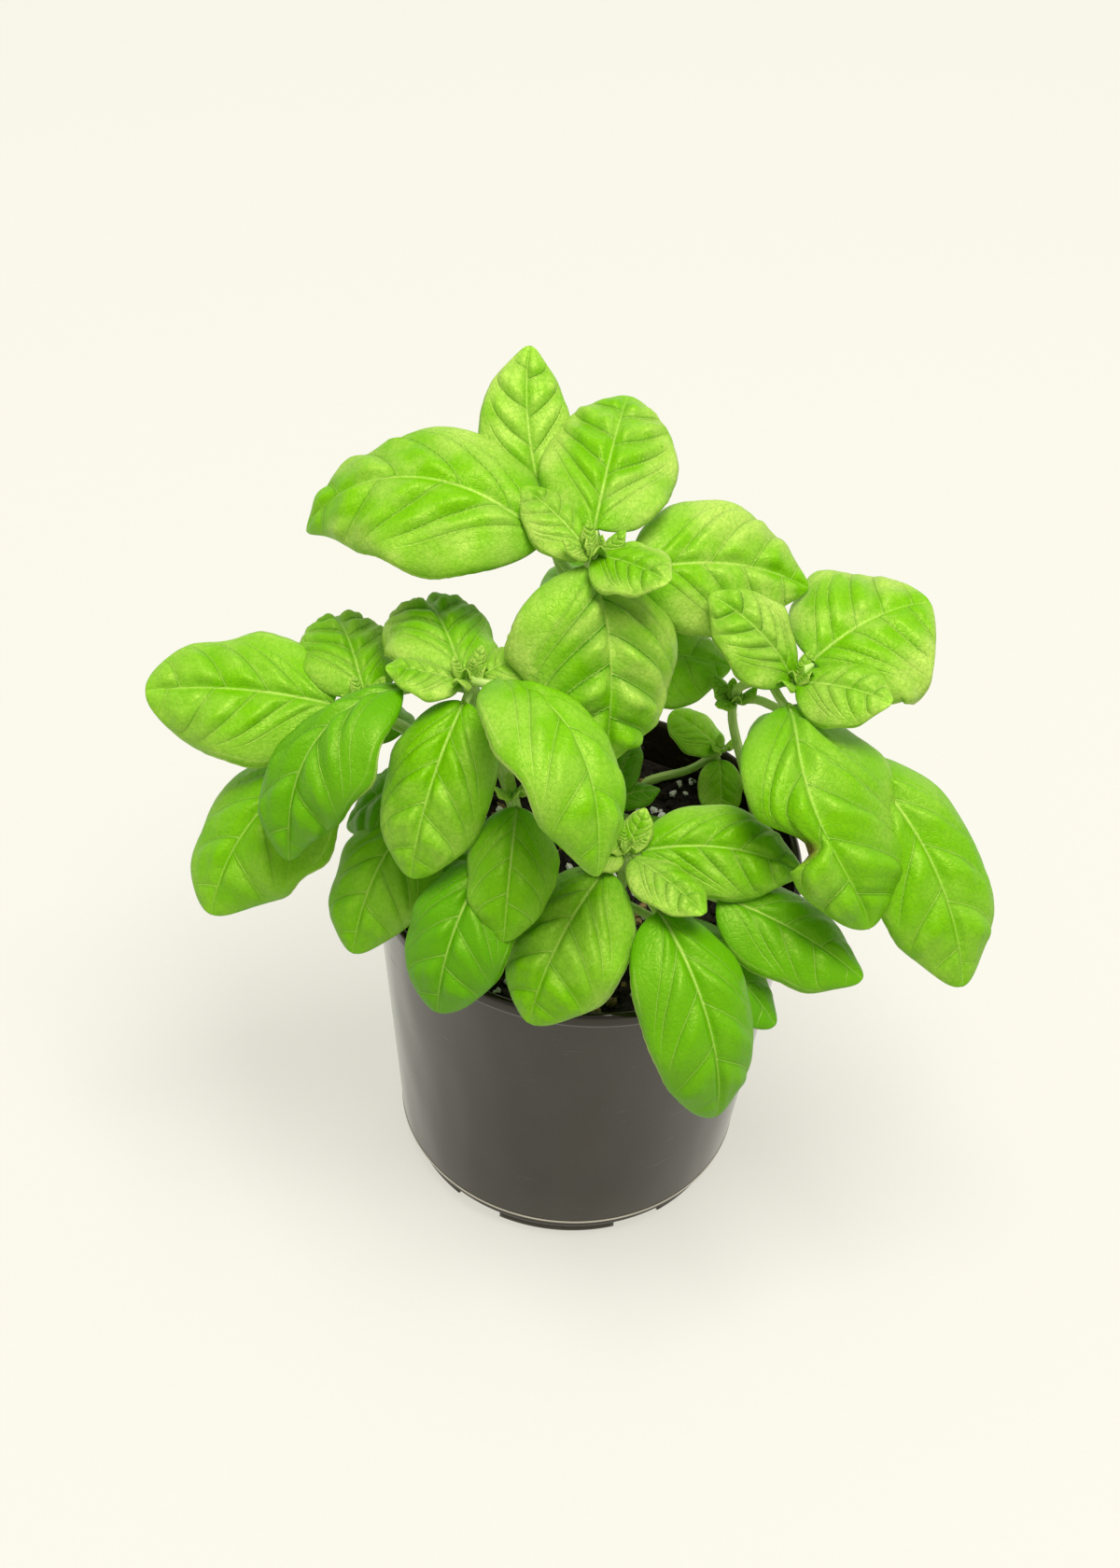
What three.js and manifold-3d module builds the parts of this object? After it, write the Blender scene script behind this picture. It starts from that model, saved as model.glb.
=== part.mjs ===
// Potted basil: a glossy nursery pot, its soil, six leafy stems and two seedlings.
// Millimetres, +Z up, +Y to the back. Shapes are drawn round the pot's axis, then moved by
// MIDDLE, which puts the origin at the floor under the middle of the whole plant.
import * as THREE from "three";
import { mergeVertices } from "three/addons/utils/BufferGeometryUtils.js";
import Module from "manifold-3d";

const wasm = await Module();
wasm.setup();

// ---------------------------------------------------------------- driving sizes

const POT = {
  height: 110,
  rimRadius: 60,
  baseRadius: 49,
  wall: 1.8,
  lip: 4,
  lipStep: 0.5,
  floor: 2.5,
  footHeight: 3,
  footWidth: 2.6,
  footInset: 1.4,
  footCount: 6,
  footSweep: 42,
  bandHeight: 3.4,
  bandStep: 1,
  sides: 40,
};
const MIDDLE = [5.5, -0.3, 0];
const GAP = 0.35;
const SOIL = { level: 98, lump: 0.9, rings: 5, holeFloor: 80 };
const BLADE = { thick: 0.8, wave: 0.045, crease: 0.03, endWidth: 1.2 };
const STALK = { radius: 1.15, small: 0.8, cover: 0.15, reach: 0.1, sides: 5 };
const FINISH = 0.03;
const STEM = { start: 80.5, bury: 93, clear: 102, bud: 1.05, sides: 8, steps: 7 };

// Leaf columns: x, y, z where the stalk leaves the stem, then turn (degrees from +X),
// rise (degrees above level), droop (degrees lost by the tip), stalk length, blade length,
// blade width, twist, swing (degrees of turn gained by the tip), cup (half arc of the
// section), tip (small is blunt, large is pointed) and peak (small is widest near the stalk).
const STEMS = [
  {
    name: "stem_tall",
    width: 4.6,
    root: [4, 8],
    path: [[-2, 14, 140], [-8, 13, 180], [-6, 6, 200], [-5, 4, 214]],
    leaves: [
      [-7, 12, 184, 133, 55, 20, 31, 44, 29, 0, -48, 45, 0.48, 0.85],
      [-7, 9, 198, 163, 57, 128, 17, 78, 54, -16, 14, 48, 0.58, 0.74],
      [-6, 4, 213, 83, 34, 46, 8, 48, 41, 0, 0, 45, 0.4, 0.9],
      [-4.6, 7.3, 202, 20, 13, 52, 12, 51, 45, 36, -6, 55, 0.5, 0.85],
      [-4, 4, 212, 141, 32, 30, 2, 26, 20, -10, 0, 40, 0.5, 0.85],
      [-6, 5, 213, -35, 26, 30, 2, 24, 21, 10, 0, 30, 0.46, 0.85],
      [-6, 6.5, 210.6, -65, -19, 75, 1.8, 56, 58, -15, -39, 60, 0.52, 0.64],
      [-8, 13, 172, 10, 5, 30, 8, 36, 34, 25, 0, 50, 0.5, 0.85],
      [-8, 13, 182, 165, 12, 20, 3, 12, 8, 0, 0, 50, 0.5, 0.85],
      [-4, 14, 152, 92, 28, 70, 16, 56, 38, 0, 0, 50, 0.46, 0.85],
      [-2, 14, 140, 74, 12, 50, 10, 34, 26, 0, 0, 50, 0.46, 0.85],
    ],
  },
  {
    name: "stem_left",
    width: 4.4,
    root: [-16, -4],
    path: [[-22, -9, 140], [-32, -13, 176], [-34, -15, 185]],
    leaves: [
      [-34, -15, 184, -174, 22, 20, 2, 20, 17, 0, 0, 40, 0.48, 0.85],
      [-34, -15, 184, 25, 28, 20, 2, 16, 16, 0, 0, 40, 0.48, 0.85],
      [-35, -15, 183, 112, 25, 80, 4, 42, 37, 0, 0, 50, 0.42, 0.9],
      [-32.6, -17.4, 186.4, -38, 42, 127, 10, 70, 44, -28, -49, 58, 0.52, 0.8],
      [-33, -14, 183, -108, -12, 70, 6, 50, 36, 0, 0, 50, 0.42, 0.85],
      [-32, -13, 180, -172, 18, 108, 20, 62, 40, 18, 100, 50, 0.52, 0.85],
      [-34, -8, 148, -133, -8, 70, 17, 46, 35, 0, 25, 50, 0.44, 0.85],
      [-26, -11, 153, -174, -5, 60, 14, 35, 32, 0, 0, 50, 0.46, 0.85],
      [-22, -9, 140, 98, 15, 60, 10, 34, 24, 0, 0, 50, 0.46, 0.85],
    ],
  },
  {
    name: "stem_right",
    width: 3,
    root: [49, 16],
    path: [[42, 14, 130], [35.5, 11, 158], [37, 8, 170], [50, 0, 180]],
    leaves: [
      [50, -0.8, 180, 168, 66, 59, 1.7, 33, 26, -18, -16, 35, 0.48, 0.85],
      [49, 0, 180, 39, 36, 50, 8, 38, 53, 10, -10, 45, 0.4, 0.88],
      [49, 0, 180, -24, 26, 30, 2, 27, 25, 14, 0, 40, 0.48, 0.85],
      [45, 3, 174, -59, 12, 90, 8, 68, 54, -8, -6, 50, 0.42, 0.78],
      [39, 12, 163.5, -36, 12, 84, 37.5, 69, 45, 0, -24, 50, 0.44, 0.78],
      [42, 14, 130, 60, 15, 60, 10, 38, 28, 0, 0, 50, 0.46, 0.85],
      [35.5, 10, 163, 150, 40, 20, 1, 8, 6, 0, 0, 40, 0.5, 0.85],
      [35.5, 10, 163, -120, 30, 20, 1, 8, 6, 0, 0, 40, 0.5, 0.85],
    ],
  },
  {
    name: "stem_front",
    width: 3.8,
    root: [8, -26],
    path: [[9, -31, 125], [10, -33, 140], [10, -34, 147]],
    leaves: [
      [10, -34, 146, 4, 20, 52, 4, 44, 31, 25, -6, 50, 0.46, 0.85],
      [10, -34, 146, -45, 15, 25, 3, 27, 18, 0, 0, 40, 0.46, 0.85],
      [8, -33, 144, -119, 0, 80, 6, 48, 41, 0, 0, 50, 0.42, 0.88],
      [10, -33, 140, -57, 8, 105, 18, 63, 38, 0, 0, 50, 0.4, 0.9],
      [10, -33, 138, -12, 5, 40, 26, 44, 33, 10, -6, 50, 0.46, 0.85],
      [10, -34, 146, 150, 25, 20, 1, 13, 12, 0, 0, 40, 0.5, 0.85],
      [10, -34, 146, -150, 15, 20, 1, 12, 10, 0, 0, 40, 0.5, 0.85],
      [10, -34, 146, 60, 60, 20, 1, 12, 10, 0, 0, 40, 0.5, 0.85],
      [9, -31, 125, -30, 10, 60, 14, 42, 26, 0, 0, 50, 0.42, 0.85],
    ],
  },
  {
    name: "stem_front_left",
    width: 3.6,
    root: [-20, -20],
    path: [[-21, -26, 130], [-20, -32, 150], [-20, -33, 163]],
    leaves: [
      [-20, -32, 148, -116, 5, 100, 12, 46, 35, 0, 10, 50, 0.4, 0.9],
      [-19, -33, 162, -91, -8, 72, 3, 37, 29, 0, 0, 50, 0.44, 0.85],
      [-20, -26, 132, -178, 0, 40, 6, 22, 22, 0, 0, 50, 0.46, 0.85],
      [-21, -28, 136, -112, -4, 50, 6, 24, 18, 0, 0, 50, 0.46, 0.85],
    ],
  },
  {
    name: "stem_far_left",
    width: 3.8,
    root: [-36, 8],
    path: [[-46, 6, 140], [-58, -2, 158], [-62, -8, 168]],
    leaves: [
      [-61, -6, 162, 178, 13, 30, 9, 51, 42, -30, 0, 40, 0.42, 0.88],
      [-57, -3, 150, -152, 0, 70, 14, 57, 47, 0, 40, 50, 0.44, 0.88],
      [-61, -8, 167, 110, 28, 70, 3, 38, 33, 0, 0, 50, 0.44, 0.88],
      [-46, 6, 140, 142, 12, 60, 8, 30, 24, 0, 0, 50, 0.46, 0.85],
    ],
  },
  {
    name: "seedling_back",
    width: 2.8,
    root: [15, 38],
    path: [[19, 38, 105], [27, 38, 109], [36, 38, 118]],
    leaves: [
      [36, 38, 117, 150, 30, 30, 1, 18, 17, 0, 0, 30, 0.4, 0.9],
      [35, 37, 116, -80, -30, 30, 1, 17, 14, 0, 0, 30, 0.4, 0.9],
    ],
  },
  {
    name: "seedling_middle",
    width: 2.2,
    root: [3, 21],
    path: [[4, 21, 106], [5, 21, 112]],
    leaves: [
      [5, 21, 110, 15, 30, 40, 1, 14, 11, 0, 0, 40, 0.5, 0.85],
      [5, 21, 111, 72, 40, 40, 1, 20, 12, 0, 0, 40, 0.5, 0.85],
      [4, 21, 106, -10, 8, 30, 9, 10, 9, 0, 0, 40, 0.5, 0.85],
    ],
  },
];

// ---------------------------------------------------------------- solid helpers

const radians = THREE.MathUtils.degToRad;

function solidFromGeometry(geometry) {
  const bare = new THREE.BufferGeometry();
  bare.setAttribute("position", geometry.getAttribute("position"));
  bare.setIndex(geometry.getIndex());
  const merged = mergeVertices(bare, 1e-4);
  const mesh = new wasm.Mesh({
    numProp: 3,
    vertProperties: new Float32Array(merged.getAttribute("position").array),
    triVerts: new Uint32Array(merged.getIndex().array),
  });
  return new wasm.Manifold(mesh);
}

function geometryFromSolid(solid) {
  const mesh = solid.getMesh();
  const geometry = new THREE.BufferGeometry();
  geometry.setAttribute("position", new THREE.BufferAttribute(mesh.vertProperties, 3));
  geometry.setIndex(new THREE.BufferAttribute(mesh.triVerts, 1));
  geometry.computeVertexNormals();
  return geometry;
}

function geometryFromLists(points, triangles) {
  const geometry = new THREE.BufferGeometry();
  geometry.setAttribute("position", new THREE.Float32BufferAttribute(points, 3));
  geometry.setIndex(triangles);
  return geometry;
}

function roundSection(radius, sides, turn = 0) {
  const shape = new THREE.Shape();
  for (let i = 0; i < sides; i += 1) {
    const angle = turn + (2 * Math.PI * i) / sides;
    const x = radius * Math.cos(angle);
    const y = radius * Math.sin(angle);
    if (i === 0) {
      shape.moveTo(x, y);
    } else {
      shape.lineTo(x, y);
    }
  }
  shape.closePath();
  return shape;
}

function rod(section, points, steps) {
  const curve = new THREE.CatmullRomCurve3(points, false, "centripetal");
  const geometry = new THREE.ExtrudeGeometry(section, {
    steps,
    bevelEnabled: false,
    extrudePath: curve,
  });
  geometry.deleteAttribute("uv");
  geometry.deleteAttribute("normal");
  return solidFromGeometry(geometry);
}

// ---------------------------------------------------------------- pot

function outerRadius(z) {
  const share = (z - POT.footHeight) / (POT.height - POT.footHeight);
  return THREE.MathUtils.lerp(POT.baseRadius, POT.rimRadius - POT.lipStep, share);
}

function innerRadius(z) {
  return outerRadius(z) - POT.wall;
}

function potShell() {
  const base = POT.footHeight;
  const band = base + POT.bandHeight;
  const lip = POT.height - POT.lip;
  const floorTop = base + POT.floor;
  const foot = POT.baseRadius - POT.bandStep;
  const profile = [
    [0, base],
    [foot - 1.2, base],
    [foot, base + 1],
    [foot, band],
    [outerRadius(band) - 0.2, band + 0.4],
    [outerRadius(band + 1), band + 1],
    [outerRadius(lip - 1), lip - 1],
    [POT.rimRadius, lip],
    [POT.rimRadius, POT.height - 0.9],
    [POT.rimRadius - 0.7, POT.height],
    [POT.rimRadius - 1.6, POT.height],
    [innerRadius(POT.height), POT.height - 0.8],
    [innerRadius(lip), lip],
    [innerRadius(floorTop + 1), floorTop + 1],
    [innerRadius(floorTop) - 1.2, floorTop],
    [0, floorTop],
  ];
  const points = profile.map(([r, z]) => new THREE.Vector2(r, z));
  const geometry = new THREE.LatheGeometry(points, POT.sides);
  geometry.rotateX(Math.PI / 2);
  return solidFromGeometry(geometry);
}

function footRing() {
  const outer = POT.baseRadius - POT.bandStep - POT.footInset;
  const inner = outer - POT.footWidth;
  const sweep = radians(POT.footSweep);
  let ring = null;
  for (let i = 0; i < POT.footCount; i += 1) {
    const middle = (2 * Math.PI * i) / POT.footCount - Math.PI / 2;
    const shape = new THREE.Shape();
    shape.absarc(0, 0, outer, middle - sweep / 2, middle + sweep / 2, false);
    shape.absarc(0, 0, inner, middle + sweep / 2, middle - sweep / 2, true);
    shape.closePath();
    const geometry = new THREE.ExtrudeGeometry(shape, {
      depth: POT.footHeight + 0.5,
      bevelEnabled: false,
      curveSegments: 5,
    });
    const foot = solidFromGeometry(geometry);
    ring = ring ? ring.add(foot) : foot;
  }
  return ring;
}

function makePot() {
  return potShell().add(footRing());
}

// ---------------------------------------------------------------- soil

function soilHeight(x, y) {
  const broad = Math.sin(x * 0.21 + 1.3) * Math.cos(y * 0.17 - 0.4);
  const fine = Math.sin(x * 0.47 - y * 0.39) * Math.cos(y * 0.52 + x * 0.11);
  return SOIL.level + SOIL.lump * (broad + 0.6 * fine);
}

function soilBody() {
  const points = [];
  const triangles = [];
  const floorTop = POT.footHeight + POT.floor;
  const rings = SOIL.rings;
  const sides = POT.sides;
  const edge = innerRadius(SOIL.level - 2) - GAP;
  points.push(0, 0, soilHeight(0, 0));
  for (let ring = 1; ring <= rings; ring += 1) {
    for (let side = 0; side < sides; side += 1) {
      const angle = (2 * Math.PI * side) / sides;
      const radius = (edge * ring) / rings;
      const x = radius * Math.cos(angle);
      const y = radius * Math.sin(angle);
      points.push(x, y, ring === rings ? SOIL.level - 2 : soilHeight(x, y));
    }
  }
  const low = floorTop + 1 + GAP;
  for (let side = 0; side < sides; side += 1) {
    const angle = (2 * Math.PI * side) / sides;
    const radius = innerRadius(low) - GAP;
    points.push(radius * Math.cos(angle), radius * Math.sin(angle), low);
  }
  const bottom = points.length / 3;
  points.push(0, 0, low);
  for (let side = 0; side < sides; side += 1) {
    const next = (side + 1) % sides;
    triangles.push(0, 1 + side, 1 + next);
    for (let ring = 0; ring < rings; ring += 1) {
      const a = 1 + ring * sides + side;
      const b = 1 + ring * sides + next;
      triangles.push(a, a + sides, b + sides, a, b + sides, b);
    }
    const last = 1 + rings * sides;
    triangles.push(bottom, last + next, last + side);
  }
  return solidFromGeometry(geometryFromLists(points, triangles));
}

function makeSoil() {
  let soil = soilBody();
  for (const stem of STEMS) {
    const [x, y] = stem.root;
    const depth = SOIL.level + 6 - SOIL.holeFloor;
    const hole = new THREE.CylinderGeometry(holeRadius(stem), holeRadius(stem), depth, 10);
    hole.rotateX(Math.PI / 2);
    hole.translate(x, y, SOIL.holeFloor + depth / 2);
    soil = soil.subtract(solidFromGeometry(hole));
  }
  return soil;
}

// ---------------------------------------------------------------- leafy stems

function stemRadius(stem) {
  return stem.width * 0.54;
}

function holeRadius(stem) {
  return stemRadius(stem) + 0.55;
}

function readLeaf(row) {
  const [x, y, z, turn, rise, droop, stalk, length, width, twist, swing, cup, tip, peak] = row;
  const at = new THREE.Vector3(x, y, z);
  return { at, turn, rise, droop, stalk, length, width, twist, swing, cup, tip, peak };
}

// The rib starts at the stem and is the running sum of its heading.
function ribFrame(leaf, distance) {
  const total = leaf.stalk + leaf.length;
  const heading = (s) => {
    const share = s / total;
    const lift = radians(leaf.rise - leaf.droop * share ** 1.2);
    const turn = radians(leaf.turn + leaf.swing * share ** 1.5);
    return [lift, turn];
  };
  const pieces = 48;
  const centre = leaf.at.clone();
  const step = distance / pieces;
  for (let i = 0; i < pieces; i += 1) {
    const [lift, turn] = heading((i + 0.5) * step);
    centre.x += step * Math.cos(lift) * Math.cos(turn);
    centre.y += step * Math.cos(lift) * Math.sin(turn);
    centre.z += step * Math.sin(lift);
  }
  const [lift, turn] = heading(distance);
  const along = new THREE.Vector3(
    Math.cos(lift) * Math.cos(turn),
    Math.cos(lift) * Math.sin(turn),
    Math.sin(lift),
  );
  const share = leaf.stalk > 0 ? Math.min(distance / leaf.stalk, 1) : 1;
  const twist = radians(leaf.twist) * share * share * (3 - 2 * share);
  const side = new THREE.Vector3(-Math.sin(turn), Math.cos(turn), 0);
  side.applyAxisAngle(along, twist);
  const up = new THREE.Vector3().crossVectors(along, side);
  return { centre, side, up };
}

// A point of the blade's middle surface: u runs from stalk to tip, v across from -1 to 1.
function bladePoint(leaf, u, v) {
  const { centre, side, up } = ribFrame(leaf, leaf.stalk + u * leaf.length);
  const outline = Math.sin(Math.PI * u ** leaf.peak) ** leaf.tip;
  const half = Math.max((leaf.width / 2) * outline, BLADE.endWidth / 2);
  const cup = radians(leaf.cup);
  const across = (half * Math.sin(cup * v)) / cup;
  const sag = (half * (1 - Math.cos(cup * v))) / cup;
  const phase = radians(leaf.turn) * 2.3 + (v < 0 ? 1.9 : 0);
  const ripple = Math.sin(4 * Math.PI * u + phase) * Math.sin(Math.PI * u) * v * v;
  const crease = leaf.width * BLADE.crease * outline * (1 - Math.exp(-Math.abs(v) / 0.15));
  const height = leaf.width * BLADE.wave * ripple + crease - sag;
  return centre.addScaledVector(side, across).addScaledVector(up, height);
}

function bladeCuts(leaf) {
  if (leaf.length < 15) {
    return [4, 2];
  }
  if (leaf.length < 30) {
    return [5, 4];
  }
  if (leaf.length < 46) {
    return [6, 4];
  }
  return leaf.length < 58 ? [7, 6] : [8, 6];
}

function bladeSolid(leaf) {
  const [rows, columns] = bladeCuts(leaf);
  const grid = [];
  for (let i = 0; i <= rows; i += 1) {
    const u = 0.5 - 0.5 * Math.cos((Math.PI * (i + 0.35)) / (rows + 0.7));
    for (let j = 0; j <= columns; j += 1) {
      grid.push(bladePoint(leaf, u, (2 * j) / columns - 1));
    }
  }
  const wide = columns + 1;
  const normals = grid.map((point, k) => {
    const i = Math.floor(k / wide);
    const j = k % wide;
    const ahead = grid[Math.min(i + 1, rows) * wide + j];
    const behind = grid[Math.max(i - 1, 0) * wide + j];
    const left = grid[i * wide + Math.min(j + 1, columns)];
    const right = grid[i * wide + Math.max(j - 1, 0)];
    const along = ahead.clone().sub(behind);
    const over = left.clone().sub(right);
    return along.cross(over).normalize();
  });
  const points = [];
  for (const face of [0.5, -0.5]) {
    grid.forEach((point, k) => {
      const moved = point.clone().addScaledVector(normals[k], face * BLADE.thick);
      points.push(moved.x, moved.y, moved.z);
    });
  }
  return solidFromGeometry(geometryFromLists(points, bladeTriangles(rows, columns)));
}

function bladeTriangles(rows, columns) {
  const wide = columns + 1;
  const under = wide * (rows + 1);
  const triangles = [];
  for (let i = 0; i < rows; i += 1) {
    for (let j = 0; j < columns; j += 1) {
      const a = i * wide + j;
      const b = a + wide;
      const flip = j < columns / 2;
      const pairs = flip ? [[a, b, b + 1], [a, b + 1, a + 1]] : [[a, b, a + 1], [a + 1, b, b + 1]];
      for (const [p, q, r] of pairs) {
        triangles.push(p, q, r, under + p, under + r, under + q);
      }
    }
  }
  const border = [];
  for (let i = 0; i < rows; i += 1) {
    border.push([(i + 1) * wide, i * wide]);
    border.push([i * wide + columns, (i + 1) * wide + columns]);
  }
  for (let j = 0; j < columns; j += 1) {
    border.push([j, j + 1]);
    border.push([rows * wide + j + 1, rows * wide + j]);
  }
  for (const [from, to] of border) {
    triangles.push(from, to, under + to, from, under + to, under + from);
  }
  return triangles;
}

function stalkSolid(leaf, curve) {
  const radius = leaf.length < 30 ? STALK.small : STALK.radius;
  const end = leaf.stalk + leaf.length * STALK.reach;
  const count = 2 + Math.round(leaf.stalk / 9);
  const points = [];
  const anchor = nearestPoint(curve, leaf.at);
  if (anchor.distanceTo(leaf.at) > 0.6) {
    points.push(anchor);
  }
  for (let i = 0; i <= count; i += 1) {
    const distance = (end * i) / count;
    const { centre, up } = ribFrame(leaf, distance);
    const share = Math.min(1, distance / (leaf.stalk + 0.01));
    points.push(centre.addScaledVector(up, (STALK.cover - radius) * share));
  }
  return rod(roundSection(radius, STALK.sides), points, count);
}

function stemPoints(stem) {
  const [x, y] = stem.root;
  const points = [STEM.start, STEM.bury, STEM.clear].map((z) => new THREE.Vector3(x, y, z));
  for (const point of stem.path) {
    points.push(new THREE.Vector3(...point));
  }
  return points;
}

function nearestPoint(curve, target) {
  const samples = curve.getPoints(60);
  const distances = samples.map((sample) => sample.distanceTo(target));
  return samples[distances.indexOf(Math.min(...distances))];
}

function makeStem(stem) {
  const points = stemPoints(stem);
  const curve = new THREE.CatmullRomCurve3(points, false, "centripetal");
  const section = roundSection(stemRadius(stem), STEM.sides, Math.PI / 8);
  const bud = new THREE.SphereGeometry(stemRadius(stem) * STEM.bud, 6, 4);
  bud.translate(...points.at(-1).toArray());
  let solid = rod(section, points, STEM.steps).add(solidFromGeometry(bud));
  for (const row of stem.leaves) {
    const leaf = readLeaf(row);
    solid = solid.add(stalkSolid(leaf, curve)).add(bladeSolid(leaf));
  }
  return solid;
}

// ---------------------------------------------------------------- materials

function paint(colour, roughness) {
  return new THREE.MeshStandardMaterial({ color: colour, roughness, metalness: 0 });
}

const POT_PLASTIC = paint(0x4a4640, 0.22);
const SOIL_MIX = paint(0x2b1d14, 0.95);
const LEAF_GREEN = paint(0x6fae2c, 0.45);
const SEEDLING_GREEN = paint(0x5e9a2a, 0.5);

// ---------------------------------------------------------------- the part

function node(name, solid, material) {
  const placed = solid.simplify(FINISH).translate(MIDDLE);
  const mesh = new THREE.Mesh(geometryFromSolid(placed), material);
  mesh.name = name;
  return mesh;
}

const part = new THREE.Group();
part.name = "potted_basil";
part.add(node("pot", makePot(), POT_PLASTIC));
part.add(node("soil", makeSoil(), SOIL_MIX));
for (const stem of STEMS) {
  const green = stem.name.startsWith("seedling") ? SEEDLING_GREEN : LEAF_GREEN;
  part.add(node(stem.name, makeStem(stem), green));
}

export default part;
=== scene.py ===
import collections
import math

import bpy
import numpy as np
from mathutils import Matrix, Vector


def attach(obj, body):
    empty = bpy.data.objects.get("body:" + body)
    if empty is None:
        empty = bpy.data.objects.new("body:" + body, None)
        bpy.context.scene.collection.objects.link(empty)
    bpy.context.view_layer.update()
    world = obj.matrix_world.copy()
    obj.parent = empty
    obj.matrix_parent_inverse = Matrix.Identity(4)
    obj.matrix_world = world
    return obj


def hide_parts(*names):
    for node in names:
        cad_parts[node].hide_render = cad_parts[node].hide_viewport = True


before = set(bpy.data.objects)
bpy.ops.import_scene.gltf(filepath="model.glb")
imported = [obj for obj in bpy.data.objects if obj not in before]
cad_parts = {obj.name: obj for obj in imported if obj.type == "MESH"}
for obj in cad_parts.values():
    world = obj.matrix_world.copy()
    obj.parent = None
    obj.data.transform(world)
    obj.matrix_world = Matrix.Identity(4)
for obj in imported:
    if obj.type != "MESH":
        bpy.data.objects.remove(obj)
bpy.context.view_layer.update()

bl_info = {
    "name": "Potted basil",
    "version": (1, 0, 0),
    "blender": (4, 5, 0),
    "location": "View3D > Sidebar > Basil",
    "description": "Dresses the potted basil: pot, soil, leafy stems, seedlings and a plain stage",
    "category": "Object",
}

# ------------------------------------------------------------------ shared sizes, in mm

MM = 0.001
MIDDLE = np.array([5.5, -0.3, 0.0])

POT = {
    "height": 110,
    "rim": 60,
    "base": 49,
    "wall": 1.8,
    "lip": 4,
    "lip_step": 0.5,
    "floor": 2.5,
    "foot": 3,
    "foot_width": 2.6,
    "foot_inset": 1.4,
    "foot_count": 6,
    "foot_sweep": 42,
    "band": 3.4,
    "band_step": 1,
    "gap": 0.35,
}
SOIL = {"level": 98, "lump": 0.9, "fall": 2, "stem_gap": 4.5}

# wave and crease are shares of a blade's width, and thick is its least thickness.
BLADE = {"wave": 0.045, "crease": 0.03, "thick": 0.3}

# Heights at which a stem comes up straight through the soil.
STEM_START = (80.5, 93, 102)

# Seeds of the random draws, to which each stem adds its place in the list.
SEEDS = {"bed": 3, "crumbs": 5, "perlite": 11, "bark": 12, "stem": 40}

# Least blade length, then the rows and columns of points that such a blade gets.
BLADE_GRIDS = ((46, 89, 43), (30, 65, 33), (15, 45, 25), (0, 25, 13))

# Leaf columns: x, y, z where the stalk leaves the stem, turn, rise, droop, stalk length,
# blade length, blade width, twist, swing, cup, tip and peak as in the solids, then tone
# (0 a dark leaf, 1 a pale one; partly the leaf's age and partly painted light and shade,
# with leaves in shade set darker and lit ones paler) and quilt (how strongly it is puckered).
LEAF_COLUMNS = "x y z turn rise droop stalk length width twist swing cup tip peak tone quilt"
Leaf = collections.namedtuple("Leaf", LEAF_COLUMNS)
Stem = collections.namedtuple("Stem", "name width root path leaves")

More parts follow.
